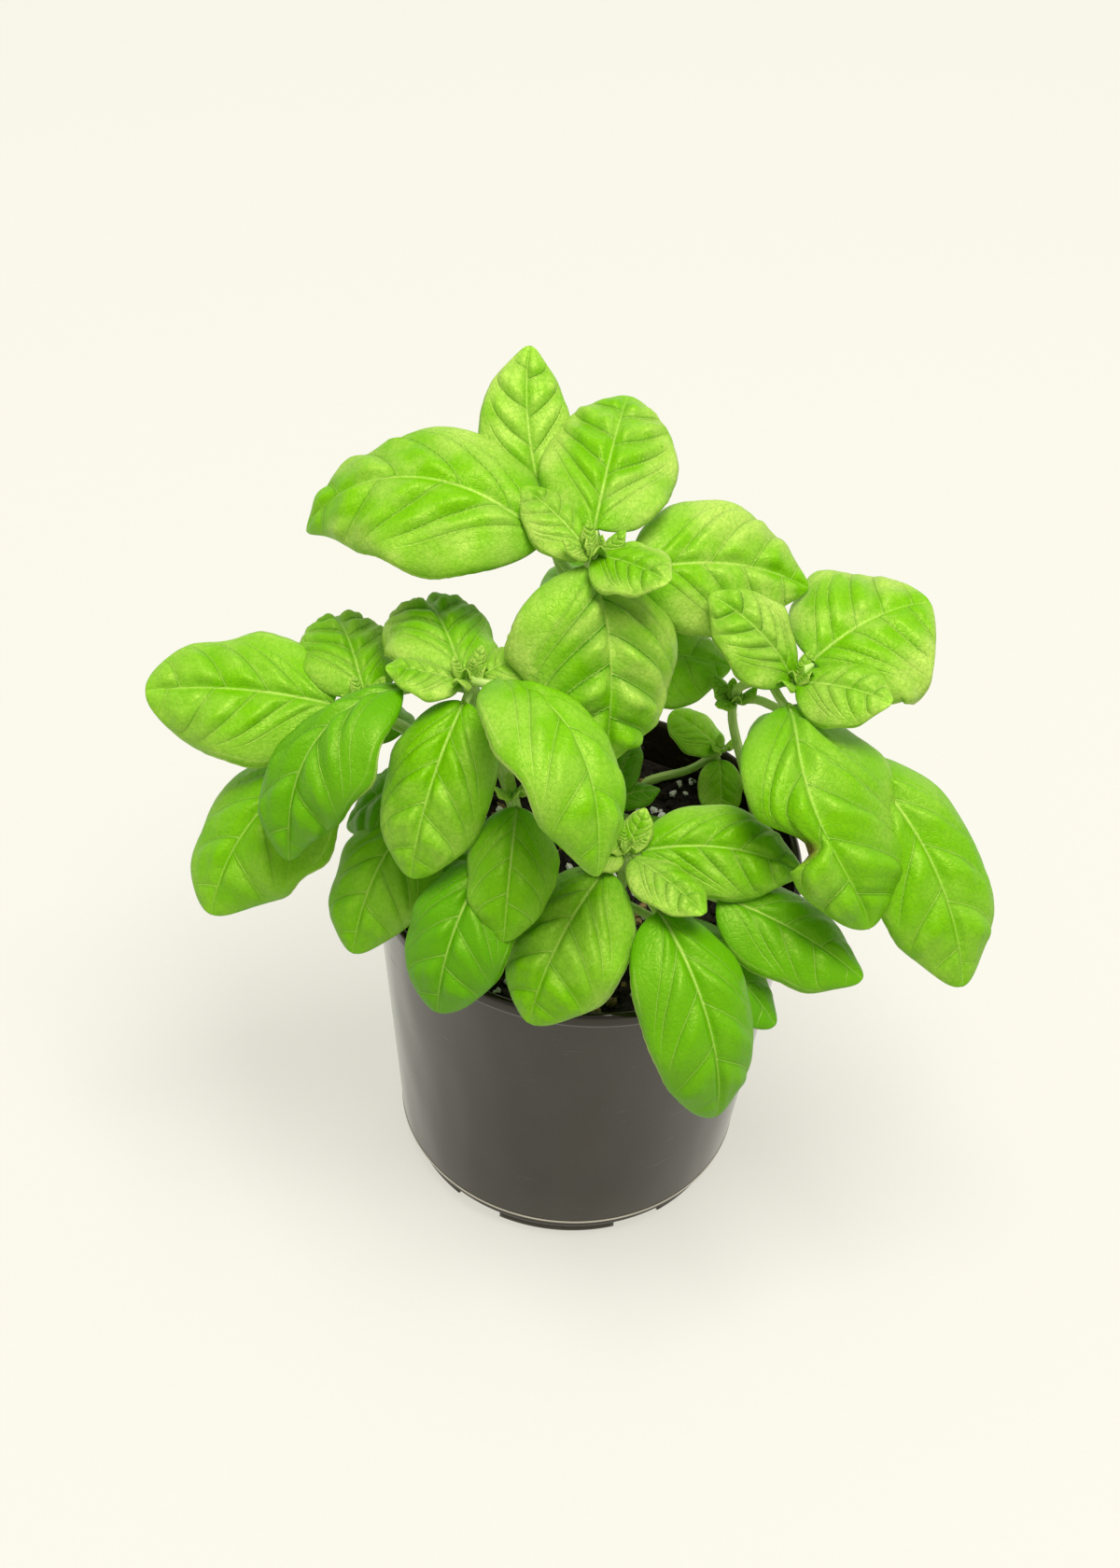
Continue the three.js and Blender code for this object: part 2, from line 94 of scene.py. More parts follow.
STEMS = [
    Stem("stem_tall", 4.6, (4, 8), ((-2, 14, 140), (-8, 13, 180), (-6, 6, 200), (-5, 4, 214)), (
        (-7, 12, 184, 133, 55, 20, 31, 44, 29, 0, -48, 45, 0.48, 0.85, 0.75, 0.9),
        (-7, 9, 198, 163, 57, 128, 17, 78, 54, -16, 14, 48, 0.58, 0.74, 0.7, 0.9),
        (-6, 4, 213, 83, 34, 46, 8, 48, 41, 0, 0, 45, 0.4, 0.9, 0.75, 1.1),
        (-4.6, 7.3, 202, 20, 13, 52, 12, 51, 45, 36, -6, 55, 0.5, 0.85, 0.95, 0.8),
        (-4, 4, 212, 141, 32, 30, 2, 26, 20, -10, 0, 40, 0.5, 0.85, 0.75, 1.3),
        (-6, 5, 213, -35, 26, 30, 2, 24, 21, 10, 0, 30, 0.46, 0.85, 0.85, 1.8),
        (-6, 6.5, 210.6, -65, -19, 75, 1.8, 56, 58, -15, -39, 60, 0.52, 0.64, 0.95, 1.6),
        (-8, 13, 172, 10, 5, 30, 8, 36, 34, 25, 0, 50, 0.5, 0.85, 0.5, 0.6),
        (-8, 13, 182, 165, 12, 20, 3, 12, 8, 0, 0, 50, 0.5, 0.85, 0.3, 0.6),
        (-4, 14, 152, 92, 28, 70, 16, 56, 38, 0, 0, 50, 0.46, 0.85, 0.2, 0.6),
        (-2, 14, 140, 74, 12, 50, 10, 34, 26, 0, 0, 50, 0.46, 0.85, 0.2, 0.6),
    )),
    Stem("stem_left", 4.4, (-16, -4), ((-22, -9, 140), (-32, -13, 176), (-34, -15, 185)), (
        (-34, -15, 184, -174, 22, 20, 2, 20, 17, 0, 0, 40, 0.48, 0.85, 0.8, 1.6),
        (-34, -15, 184, 25, 28, 20, 2, 16, 16, 0, 0, 40, 0.48, 0.85, 0.8, 1.6),
        (-35, -15, 183, 112, 25, 80, 4, 42, 37, 0, 0, 50, 0.42, 0.9, 0.7, 1.3),
        (-32.6, -17.4, 186.4, -38, 42, 127, 10, 70, 44, -28, -49, 58, 0.52, 0.8, 0.45, 0.6),
        (-33, -14, 183, -108, -12, 70, 6, 50, 36, 0, 0, 50, 0.42, 0.85, 0.5, 0.8),
        (-32, -13, 180, -172, 18, 108, 20, 62, 40, 18, 100, 50, 0.52, 0.85, 0.25, 0.7),
        (-34, -8, 148, -133, -8, 70, 17, 46, 35, 0, 25, 50, 0.44, 0.85, 0.35, 0.6),
        (-26, -11, 153, -174, -5, 60, 14, 35, 32, 0, 0, 50, 0.46, 0.85, 0.15, 0.6),
        (-22, -9, 140, 98, 15, 60, 10, 34, 24, 0, 0, 50, 0.46, 0.85, 0.15, 0.6),
    )),
    Stem("stem_right", 3, (49, 16), ((42, 14, 130), (35.5, 11, 158), (37, 8, 170), (50, 0, 180)), (
        (50, -0.8, 180, 168, 66, 59, 1.7, 33, 26, -18, -16, 35, 0.48, 0.85, 0.8, 1.4),
        (49, 0, 180, 39, 36, 50, 8, 38, 53, 10, -10, 45, 0.4, 0.88, 0.9, 0.9),
        (49, 0, 180, -24, 26, 30, 2, 27, 25, 14, 0, 40, 0.48, 0.85, 0.8, 1.2),
        (45, 3, 174, -59, 12, 90, 8, 68, 54, -8, -6, 50, 0.42, 0.78, 0.42, 1.0),
        (39, 12, 163.5, -36, 12, 84, 37.5, 69, 45, 0, -24, 50, 0.44, 0.78, 0.4, 0.7),
        (42, 14, 130, 60, 15, 60, 10, 38, 28, 0, 0, 50, 0.46, 0.85, 0.2, 0.6),
        (35.5, 10, 163, 150, 40, 20, 1, 8, 6, 0, 0, 40, 0.5, 0.85, 0.7, 1.2),
        (35.5, 10, 163, -120, 30, 20, 1, 8, 6, 0, 0, 40, 0.5, 0.85, 0.7, 1.2),
    )),
    Stem("stem_front", 3.8, (8, -26), ((9, -31, 125), (10, -33, 140), (10, -34, 147)), (
        (10, -34, 146, 4, 20, 52, 4, 44, 31, 25, -6, 50, 0.46, 0.85, 0.5, 1.0),
        (10, -34, 146, -45, 15, 25, 3, 27, 18, 0, 0, 40, 0.46, 0.85, 0.8, 1.6),
        (8, -33, 144, -119, 0, 80, 6, 48, 41, 0, 0, 50, 0.42, 0.88, 0.45, 0.9),
        (10, -33, 140, -57, 8, 105, 18, 63, 38, 0, 0, 50, 0.4, 0.9, 0.3, 0.5),
        (10, -33, 138, -12, 5, 40, 26, 44, 33, 10, -6, 50, 0.46, 0.85, 0.25, 0.5),
        (10, -34, 146, 150, 25, 20, 1, 13, 12, 0, 0, 40, 0.5, 0.85, 0.9, 1.4),
        (10, -34, 146, -150, 15, 20, 1, 12, 10, 0, 0, 40, 0.5, 0.85, 0.9, 1.4),
        (10, -34, 146, 60, 60, 20, 1, 12, 10, 0, 0, 40, 0.5, 0.85, 0.9, 1.4),
        (9, -31, 125, -30, 10, 60, 14, 42, 26, 0, 0, 50, 0.42, 0.85, 0.15, 0.6),
    )),
    Stem("stem_front_left", 3.6, (-20, -20), ((-21, -26, 130), (-20, -32, 150), (-20, -33, 163)), (
        (-20, -32, 148, -116, 5, 100, 12, 46, 35, 0, 10, 50, 0.4, 0.9, 0.2, 0.6),
        (-19, -33, 162, -91, -8, 72, 3, 37, 29, 0, 0, 50, 0.44, 0.85, 0.4, 0.4),
        (-20, -26, 132, -178, 0, 40, 6, 22, 22, 0, 0, 50, 0.46, 0.85, 0.15, 0.5),
        (-21, -28, 136, -112, -4, 50, 6, 24, 18, 0, 0, 50, 0.46, 0.85, 0.15, 0.5),
    )),
    Stem("stem_far_left", 3.8, (-36, 8), ((-46, 6, 140), (-58, -2, 158), (-62, -8, 168)), (
        (-61, -6, 162, 178, 13, 30, 9, 51, 42, -30, 0, 40, 0.42, 0.88, 0.5, 0.8),
        (-57, -3, 150, -152, 0, 70, 14, 57, 47, 0, 40, 50, 0.44, 0.88, 0.45, 0.6),
        (-61, -8, 167, 110, 28, 70, 3, 38, 33, 0, 0, 50, 0.44, 0.88, 0.5, 1.3),
        (-46, 6, 140, 142, 12, 60, 8, 30, 24, 0, 0, 50, 0.46, 0.85, 0.15, 0.5),
    )),
    Stem("seedling_back", 2.8, (15, 38), ((19, 38, 105), (27, 38, 109), (36, 38, 118)), (
        (36, 38, 117, 150, 30, 30, 1, 18, 17, 0, 0, 30, 0.4, 0.9, 0.5, 0.8),
        (35, 37, 116, -80, -30, 30, 1, 17, 14, 0, 0, 30, 0.4, 0.9, 0.5, 0.6),
    )),
    Stem("seedling_middle", 2.2, (3, 21), ((4, 21, 106), (5, 21, 112)), (
        (5, 21, 110, 15, 30, 40, 1, 14, 11, 0, 0, 40, 0.5, 0.85, 0.1, 0.6),
        (5, 21, 111, 72, 40, 40, 1, 20, 12, 0, 0, 40, 0.5, 0.85, 0.1, 0.6),
        (4, 21, 106, -10, 8, 30, 9, 10, 9, 0, 0, 40, 0.5, 0.85, 0.1, 0.6),
    )),
]

# Small folded leaves at a growing tip: stem, x, y, z, first turn, longest, how many.
TIPS = [
    ("stem_tall", -5, 4, 214, 20, 10, 6),
    ("stem_left", -34, -15, 185, 70, 9, 6),
    ("stem_right", 50, 0, 180, 60, 9, 6),
    ("stem_right", 35.5, 9.5, 163, 10, 7, 8),
    ("stem_front", 10, -34, 147, 20, 7, 6),
    ("stem_front_left", -20, -33, 163, 30, 7, 4),
    ("stem_far_left", -62, -8, 168, 40, 8, 6),
    ("seedling_back", 36, 38, 118, 30, 5, 4),
]

# A blade with a notch: (stem, leaf) to the notch's share of the length, its side, its depth,
# how far it reaches back and ahead, and how far the rib lies off the middle.
NOTCHES = {("stem_right", 3): (0.62, -1, 0.6, 0.12, 0.035, -0.36)}


# ------------------------------------------------------------------ mesh helpers


def draws(name, index=0):
    """The random draws of one piece, the same at every run."""
    return np.random.default_rng(SEEDS[name] + index)


def shapes(*parts):
    """Joins parts of (points, quads, fields): the points stacked, each part's faces moved on
    by the number of points before it, and each named field stacked in the same order."""
    points, quads, start = [], [], 0
    for part in parts:
        points.append(part[0])
        quads.append(part[1] + start)
        start += len(part[0])
    names = parts[0][2].keys()
    fields = {name: np.concatenate([part[2][name] for part in parts]) for name in names}
    return np.concatenate(points), np.concatenate(quads), fields


def placed(name, data):
    """A new object of the scene that holds this data."""
    made = bpy.data.objects.new(name, data)
    bpy.context.scene.collection.objects.link(made)
    return made


def new_piece(name, shape, material, node, smooth=True):
    """Makes a mesh object from points in mm, four-cornered faces (a face whose last two
    corners are one point is a triangle) and fields: "uv" is a UV map, others are colours."""
    points, quads, fields = shape
    corners = np.where(quads[:, 2] == quads[:, 3], 3, 4)
    loops = quads[np.arange(4) < corners[:, None]]
    mesh = bpy.data.meshes.new(name)
    mesh.vertices.add(len(points))
    mesh.vertices.foreach_set("co", ((points + MIDDLE) * MM).astype(np.float32).ravel())
    mesh.loops.add(len(loops))
    mesh.loops.foreach_set("vertex_index", loops.astype(np.int32))
    mesh.polygons.add(len(quads))
    mesh.polygons.foreach_set("loop_start", (np.cumsum(corners) - corners).astype(np.int32))
    mesh.update(calc_edges=True)
    mesh.polygons.foreach_set("use_smooth", np.full(len(quads), smooth))
    for field, values in fields.items():
        if field == "uv":
            layer = mesh.uv_layers.new(name="pattern")
            layer.data.foreach_set("uv", values[loops].astype(np.float32).ravel())
        else:
            layer = mesh.attributes.new(field, "FLOAT_COLOR", "POINT")
            layer.data.foreach_set("color", values.astype(np.float32).ravel())
    if mesh.validate():
        raise RuntimeError(f"{name} had faces that are not sound")
    mesh.materials.append(material)
    piece = placed(name, mesh)
    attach(piece, "root")
    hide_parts(node)


def lattice(rows, columns, wrap=False):
    """Faces of a grid of rows by columns points, turned so that the row direction crossed
    with the column direction points out. With wrap the last column joins the first."""
    i = np.arange(rows - 1)[:, None]
    j = np.arange(columns if wrap else columns - 1)[None, :]
    k = (j + 1) % columns
    corners = [i * columns + j, (i + 1) * columns + j, (i + 1) * columns + k, i * columns + k]
    return np.stack([np.broadcast_to(c, np.broadcast_shapes(i.shape, j.shape)).ravel()
                     for c in corners], 1)


def cap(ring, centre, flip):
    """Three-cornered faces from a closed ring of point numbers to one centre point."""
    after = np.roll(ring, -1)
    middle = np.full(len(ring), centre)
    first, second = (after, ring) if flip else (ring, after)
    return np.stack([first, second, middle, middle], 1)


def closed_rings(rows, sides, turned=False):
    """Faces of rows of rings, closed at each end by one point: those two points come after
    the rings. turned is for rings that run the other way round."""
    ring = np.arange(sides)
    count = rows * sides
    wall = lattice(rows, sides, wrap=True)
    return np.concatenate([
        wall if turned else wall[:, ::-1],
        cap(ring, count, flip=not turned),
        cap(ring + count - sides, count + 1, flip=turned),
    ])


def steps_round(sides):
    """Angles of evenly spaced steps round a circle."""
    return 2 * np.pi * np.arange(sides) / sides


def polar(radius, angle, height):
    """Points (r cos a, r sin a, z) over the grid that the three make together."""
    grids = np.broadcast_arrays(radius * np.cos(angle), radius * np.sin(angle), height)
    return np.stack(grids, -1)


def spans(points):
    """Distance from each point of a path to the next."""
    return np.linalg.norm(np.diff(points, axis=0), axis=1)


def unit(vectors):
    """The same directions, each one unit long."""
    return vectors / np.linalg.norm(vectors, axis=-1, keepdims=True)


def spin(radius, height, sides):
    """Turns a profile about the upright axis: point = (r cos a, r sin a, z). The profile
    starts and ends on the axis, where one point closes each end."""
    rings = polar(radius[1:-1, None], steps_round(sides), height[1:-1, None]).reshape(-1, 3)
    ends = np.array([[0, 0, height[0]], [0, 0, height[-1]]])
    return np.concatenate([rings, ends]), closed_rings(len(radius) - 2, sides), {}


def tube(centres, side, up, radii, dent=0.0, square=0.0, sides=12):
    """Carries a round section along a path: point = centre + r (side cos a + up sin a).
    dent pulls the section in at the top, and square pushes four corners out. The ends are
    closed by one point each. The pattern map holds the angle and the length in mm."""
    angle = steps_round(sides)
    turned = np.angle(np.exp(1j * (angle - np.pi / 2)))
    section = 1 - dent * np.exp(-((turned / 0.55) ** 2)) + square * np.cos(4 * angle + np.pi)
    reach = radii[:, None] * section
    points = (
        centres[:, None]
        + side[:, None] * (reach * np.cos(angle))[..., None]
        + up[:, None] * (reach * np.sin(angle))[..., None]
    )
    length = np.concatenate([[0], np.cumsum(spans(centres))])
    wrap = np.stack(np.broadcast_arrays(angle / (2 * np.pi), length[:, None]), -1)
    ends = [[0, length[0]], [0, length[-1]]]
    points = np.concatenate([points.reshape(-1, 3), centres[:1], centres[-1:]])
    fields = {"uv": np.concatenate([wrap.reshape(-1, 2), ends])}
    return points, closed_rings(len(centres), sides), fields


def smooth(low, high, value):
    """Rises from 0 at low to 1 at high along 3t^2 - 2t^3."""
    t = np.clip((value - low) / (high - low), 0, 1)
    return t * t * (3 - 2 * t)


# ------------------------------------------------------------------ shader helpers


class Value:
    """A shader socket that adds Math nodes where it is used in an expression."""

    def __init__(self, graph, socket):
        self.graph = graph
        self.socket = socket

    def math(self, operation, *numbers):
        """One Math node on values and plain numbers."""
        sockets = dict(enumerate(numbers))
        return self.graph.node("ShaderNodeMath", {"operation": operation}, sockets)

    def __add__(self, other):
        return self.math("ADD", self, other)

    def __sub__(self, other):
        return self.math("SUBTRACT", self, other)

    def __rsub__(self, other):
        return self.math("SUBTRACT", other, self)

    def __mul__(self, other):
        return self.math("MULTIPLY", self, other)

    def __truediv__(self, other):
        return self.math("DIVIDE", self, other)

    def __abs__(self):
        return self.math("ABSOLUTE", self)

    __radd__ = __add__
    __rmul__ = __mul__

    def fraction(self):
        """What is left of the value past a whole number."""
        return self.math("FRACT", self)

    def step(self, low, high):
        """0 below low, 1 above high, smooth between."""
        settings = {"interpolation_type": "SMOOTHSTEP"}
        sockets = {"Value": self, "From Min": low, "From Max": high}
        return self.graph.node("ShaderNodeMapRange", settings, sockets)

    def between(self, start, full, last, end):
        """0 below start, 1 from full to last, 0 above end, smooth between."""
        return self.step(start, full) * (1 - self.step(last, end))


class Graph:
    """The nodes of one material."""

    def __init__(self, name):
        self.material = bpy.data.materials.new(name)
        self.material.use_nodes = True
        self.tree = self.material.node_tree
        self.tree.nodes.clear()

    def node(self, kind, settings=None, sockets=None, output=0):
        """Adds a node, sets its settings, then its sockets, and gives back one output."""
        made = self.tree.nodes.new(kind)
        for name, value in (settings or {}).items():
            setattr(made, name, value)
        for name, value in (sockets or {}).items():
            if isinstance(value, Value):
                self.tree.links.new(value.socket, made.inputs[name])
            else:
                made.inputs[name].default_value = value
        return Value(self, made.outputs[output])

    def place(self):
        """Object coordinates, in metres."""
        return self.node("ShaderNodeTexCoord", output="Object")

    def stretched(self, *scale):
        """The place, scaled along each axis: under 1 draws a pattern out."""
        return self.node("ShaderNodeMapping", None, {"Vector": self.place(), "Scale": scale})

    def parts(self, name):
        """The red, green and blue of a colour attribute, and its alpha."""
        colour = self.node("ShaderNodeAttribute", {"attribute_name": name}, output="Color")
        alpha = self.node("ShaderNodeAttribute", {"attribute_name": name}, output="Alpha")
        sockets = {"Color": colour}
        split = [self.node("ShaderNodeSeparateColor", None, sockets, k) for k in range(3)]
        return split + [alpha]

    def pattern(self):
        """The two numbers of the piece's own pattern map."""
        uv = self.node("ShaderNodeUVMap", {"uv_map": "pattern"})
        return [self.node("ShaderNodeSeparateXYZ", None, {"Vector": uv}, k) for k in range(2)]

    def noise(self, vector, scale, detail=3.0, rough=0.55):
        """Soft random patches; scale is the number of patches in a metre."""
        sockets = {"Vector": vector, "Scale": scale, "Detail": detail, "Roughness": rough}
        return self.node("ShaderNodeTexNoise", None, sockets)

    def cells(self, vector, scale, feature="DISTANCE_TO_EDGE"):
        """A net of random cells: the distance to its lines, or with F1 to the middles."""
        sockets = {"Vector": vector, "Scale": scale}
        return self.node("ShaderNodeTexVoronoi", {"feature": feature}, sockets)

    def mix(self, factor, one, two):
        """Colour one where factor is 0, colour two where it is 1."""
        one, two = [v if isinstance(v, Value) else (*v, 1.0) for v in (one, two)]
        sockets = {0: factor, 6: one, 7: two}
        return self.node("ShaderNodeMix", {"data_type": "RGBA"}, sockets, 2)

    def bump(self, height, distance, strength):
        """A normal tilted by height; distance is how high 1 stands, in metres."""
        sockets = {"Height": height, "Distance": distance, "Strength": strength}
        return self.node("ShaderNodeBump", None, sockets)

    def finish(self, sockets, through=None, share=0.0):
        """The material: one main shader with these sockets set or linked, and where through
        is a colour, a share of light that comes through from the other side."""
        shader = self.node("ShaderNodeBsdfPrincipled", None, sockets)
        if through is not None:
            glow = self.node("ShaderNodeBsdfTranslucent", None, {"Color": through})
            shader = self.node("ShaderNodeMixShader", None, {0: share, 1: shader, 2: glow})
        out = self.tree.nodes.new("ShaderNodeOutputMaterial")
        self.tree.links.new(shader.socket, out.inputs["Surface"])
        return self.material


# ------------------------------------------------------------------ materials


def ready(name, make, look):
    """The material of this name where another stem has made it, or else a new one."""
    return bpy.data.materials.get(name) or make(name, look)


def leaf_material(name, look):
    """A basil blade: green from dark to pale by tone, which is partly age and partly painted light
    and shade; patches of painted sheen; a pale rib and side veins drawn from the pattern map;
    painted shade as a dark crease beside each vein and a furrow round it; a fine net between
    them; painted shade near the stalk; a seam inside a thin pale edge; and a paler underside."""
    graph = Graph(name)
    place = graph.place()
    phase = graph.pattern()[0]
    tone, under, damage, shade = graph.parts("tone")
    rib_far, spacing, along, edge = graph.parts("reach")
    quilt = graph.parts("kind")[0]
    broad = graph.noise(place, 60.0, 4.0)
    fine = graph.noise(place, 420.0, 3.0)
    grain = graph.noise(place, 1100.0, 4.0, 0.7)
    net = graph.cells(place, 560.0)

    rib_width = 0.6 - along * 0.42
    rib = 1 - (rib_far / rib_width).step(0.45, 1.0)
    side = ((phase + 0.5).fraction() - 0.5) * spacing
    off = abs(side)
    fade = (1 - edge.step(0.6, 0.9)) * phase.step(0.4, 0.7) * (1 - along.step(0.84, 0.97))
    lateral = (1 - off.step(0.05, 0.3)) * fade
    # Painted shade: a dark crease on one side of each side vein and a dark furrow round it,
    # stronger on puckered blades.
    crease = (1 - abs(side - 0.4).step(0.08, 0.45)) * fade * (quilt * 0.4 + 0.2)
    furrow = (1 - off.step(0.3, 3.4)) * quilt * (spacing.step(2.0, 7.0) * 0.45 + 0.3)
    furrow = furrow * fade * quilt * (1 - (edge - quilt * 0.3).step(0.2, 0.7) * 0.8)
    crease = crease * (spacing.step(1.5, 7.0) * 0.8 + 0.2)
    furrow = furrow * (broad * 1.2 + 0.35) + crease
    web = 1 - net.step(0.01, 0.12)
    seam = edge.between(0.86, 0.885, 0.885, 0.91) * broad.step(0.4, 0.55)
    # Painted light: broad uneven patches of sheen, stronger toward the blade's edge and on leaves
    # of high tone, darker toward the rib.
    light = broad.step(0.36, 0.64) * 0.8 + edge.step(0.2, 0.95) * 0.5 + tone * 0.5 - 0.5

    # Tone runs from dark to pale green: partly the leaf's age, partly painted light and shade
    # between lit and shaded leaves.
    green = graph.mix(tone.step(0.0, 0.6), look.old_and_shaded_colour, look.leaf_colour)
    # The palest green stands for young leaves and is also the painted sheen.
    green = graph.mix(light * tone.step(0.1, 0.9), green, look.young_and_sheen_colour)
    # Painted shade in the furrows and creases.
    green = graph.mix(furrow, green, look.furrow_shade_colour)
    green = graph.mix(web * 0.14 + grain.step(0.35, 0.75) * 0.45, green, look.old_and_shaded_colour)
    green = graph.mix(lateral * 0.22, green, look.vein_colour)
    green = graph.mix(rib * (0.6 - along * 0.35) * (1 - quilt * 0.5), green, look.vein_colour)
    green = graph.mix(seam * 0.3 + edge.step(0.96, 0.985) * 0.7, green, look.vein_colour)
    # Painted shade near the stalk, in the darkest green.
    green = graph.mix(shade * 0.4, green, look.old_and_shaded_colour)
    green = graph.mix(under * 0.45, green, look.under_colour)
    green = graph.mix(damage, green, look.damage_colour)

    height = web * -0.16 + fine * 0.6 + grain * 0.3 + (1 - lateral) * 0.5
    through = graph.mix(0.5, green, look.glow_colour)
    return graph.finish({
        "Base Color": green,
        "Roughness": under * 0.2 + fine * 0.12 + look.roughness,
        "Specular IOR Level": 0.6,
        "Specular Tint": (1.0, 1.0, 0.3, 1.0),
        "Normal": graph.bump(height, 0.0004, 0.7),
    }, through, look.glow)


def stalk_material(name, look):
    """Stems and leaf stalks: pale green, with lengthwise streaks and patches of leaf green."""
    graph = Graph(name)
    angle, length = graph.pattern()
    streak = graph.node("ShaderNodeCombineXYZ", None, {0: angle * 9.0, 1: length * 0.05})
    lines = graph.noise(streak, 3.0, 4.0)
    patch = graph.noise(graph.place(), 160.0, 2.0)
    green = graph.mix(lines.step(0.35, 0.7), look.stalk_colour, look.stalk_pale)
    green = graph.mix((patch - 0.4) * 0.8, green, look.leaf_colour)
    return graph.finish({
        "Base Color": green,
        "Roughness": lines * 0.15 + 0.4,
        "Normal": graph.bump(lines, 0.0002, 0.5),
    }, green, 0.2)


def hair_material(name, look):
    """Fine hairs: near white, in places a little greener."""
    graph = Graph(name)
    tint = graph.noise(graph.place(), 900.0, 1.0)
    colour = graph.mix(tint, look.stalk_pale, look.vein_colour)
    return graph.finish({"Base Color": colour, "Roughness": 0.6})


def pot_material(look):
    """Glossy dark plastic, faintly warm, with soft flow marks, small dents that bend its
    reflections, painted highlights on two ridges low down, scuffs and a little dust."""
    graph = Graph("pot_plastic")
    place = graph.place()
    sway = graph.noise(graph.stretched(1, 1, 0.35), 26.0, 2.0)
    marks = graph.noise(graph.stretched(0.25, 0.25, 1), 300.0, 4.0).step(0.62, 0.78)
    dust = graph.noise(place, 1500.0, 2.0).step(0.66, 0.8)
    height = graph.node("ShaderNodeSeparateXYZ", None, {"Vector": place}, 2)
    low = 1 - height.step(0.0, 0.03)
    # Painted highlights: two pale lines along the ridges near the base.
    ridge_highlights = height.between(0.0066, 0.0068, 0.007, 0.0072)
    ridge_highlights = ridge_highlights + height.between(0.0078, 0.008, 0.0084, 0.0086)
    ridge_highlights = ridge_highlights * (sway * 0.6 + 0.65)
    colour = graph.mix(sway.step(0.3, 0.7), look.colour, look.colour_warm)
    colour = graph.mix(dust * 0.12 + marks * 0.05 + low * 0.06, colour, look.dust_colour)
    colour = graph.mix(ridge_highlights, colour, look.ridge_highlight_colour)
    return graph.finish({
        "Base Color": colour,
        "Roughness": marks * 0.14 + dust * 0.1 + low * 0.06 + look.roughness,
        "Specular IOR Level": 0.2,
        "Specular Tint": (1.0, 0.9, 0.7, 1.0),
        "Coat Weight": 0.4,
        "Coat Roughness": 0.08,
        "Normal": graph.bump(sway + marks * 0.02, 0.004, 0.6),
    })


def soil_material(look, name="potting_mix", lift=0.0):
    """Moist potting mix: near black to brown crumbs with a few pale fibres. lift makes more
    of it brown."""
    graph = Graph(name)
    place = graph.place()
    crumbs = graph.cells(place, 620.0, "F1")
    grain = graph.noise(place, 900.0, 4.0, 0.7)
    damp = graph.noise(place, 60.0, 2.0)
    fibre = graph.noise(graph.stretched(1, 0.16, 1), 1500.0, 2.0).step(0.68, 0.76)
    colour = graph.mix(grain.step(0.3, 0.75) + lift, look.dark_colour, look.brown_colour)
    colour = graph.mix(damp.step(0.4, 0.7) * 0.5, colour, look.dark_colour)
    colour = graph.mix(fibre * 0.5, colour, look.fibre_colour)
    return graph.finish({
        "Base Color": colour,
        "Roughness": 0.95 - damp * 0.25,
        "Specular IOR Level": 0.35,
        "Normal": graph.bump(crumbs * -0.6 + grain, 0.0012, 0.9),
    })


def grit_material(name, colour, other, pores):
    """Bits in the soil: a light and a darker colour in patches, with pores."""
    graph = Graph(name)
    place = graph.place()
    patch = graph.noise(place, 700.0, 3.0)
    hole = graph.cells(place, pores, "F1")
    return graph.finish({
        "Base Color": graph.mix(patch.step(0.35, 0.75), colour, other),
        "Roughness": 0.85,
        "Normal": graph.bump(hole + patch * 0.5, 0.0004, 0.8),
    })


def floor_material(look):
    """A plain pale sheet with the faintest tooth, which gives off a little light."""
    graph = Graph("pale_floor")
    tooth = graph.noise(graph.place(), 900.0, 2.0)
    return graph.finish({
        "Base Color": graph.mix(tooth * 0.05, look.floor_colour, (0.5, 0.49, 0.44)),
        "Roughness": 0.9,
        "Specular IOR Level": 0.1,
        "Emission Color": (1.0, 0.98, 0.86, 1.0),
        "Emission Strength": look.floor_glow,
    })


# ------------------------------------------------------------------ leaves


def heading(leaf, s):
    """Lift and turn of the rib at distance s from the stem: lift falls with the share of the
    way to the power 1.2, and turn swings with the share to the power 1.5."""
    share = s / (leaf.stalk + leaf.length)
    lift = np.radians(leaf.rise - leaf.droop * share**1.2)
    turn = np.radians(leaf.turn + leaf.swing * share**1.5)
    return lift, turn


def rib_frame(leaf, s):
    """Centre, side and up of the rib at distances s. The centre is the running sum of the
    heading; the side is level, then turned by the twist within the stalk."""
    total, steps = leaf.stalk + leaf.length, 400
    fine = np.linspace(0, total, steps + 1)
    lift, turn = heading(leaf, (fine[1:] + fine[:-1]) / 2)
    step = polar(np.cos(lift), turn, np.sin(lift))
    places = np.cumsum(np.vstack([[leaf.x, leaf.y, leaf.z], step * total / steps]), axis=0)
    centre = np.stack([np.interp(s, fine, places[:, k]) for k in range(3)], 1)
    lift, turn = heading(leaf, s)
    along = polar(np.cos(lift), turn, np.sin(lift))
    level = np.stack([-np.sin(turn), np.cos(turn), np.zeros(len(s))], 1)
    share = np.clip(s / leaf.stalk, 0, 1) if leaf.stalk > 0 else np.ones(len(s))
    twist = (np.radians(leaf.twist) * share * share * (3 - 2 * share))[:, None]
    side = level * np.cos(twist) + np.cross(along, level) * np.sin(twist)
    return centre, side, np.cross(along, side)


def size_share(leaf):
    """How large the blade's folds and veins are, against those of a blade 55 mm long."""
    return np.clip(leaf.length / 55, 0.25, 1.15)


def off_vein(number, spacing):
    """Distance in mm from the nearest side vein."""
    return np.abs(number - np.round(number)) * spacing


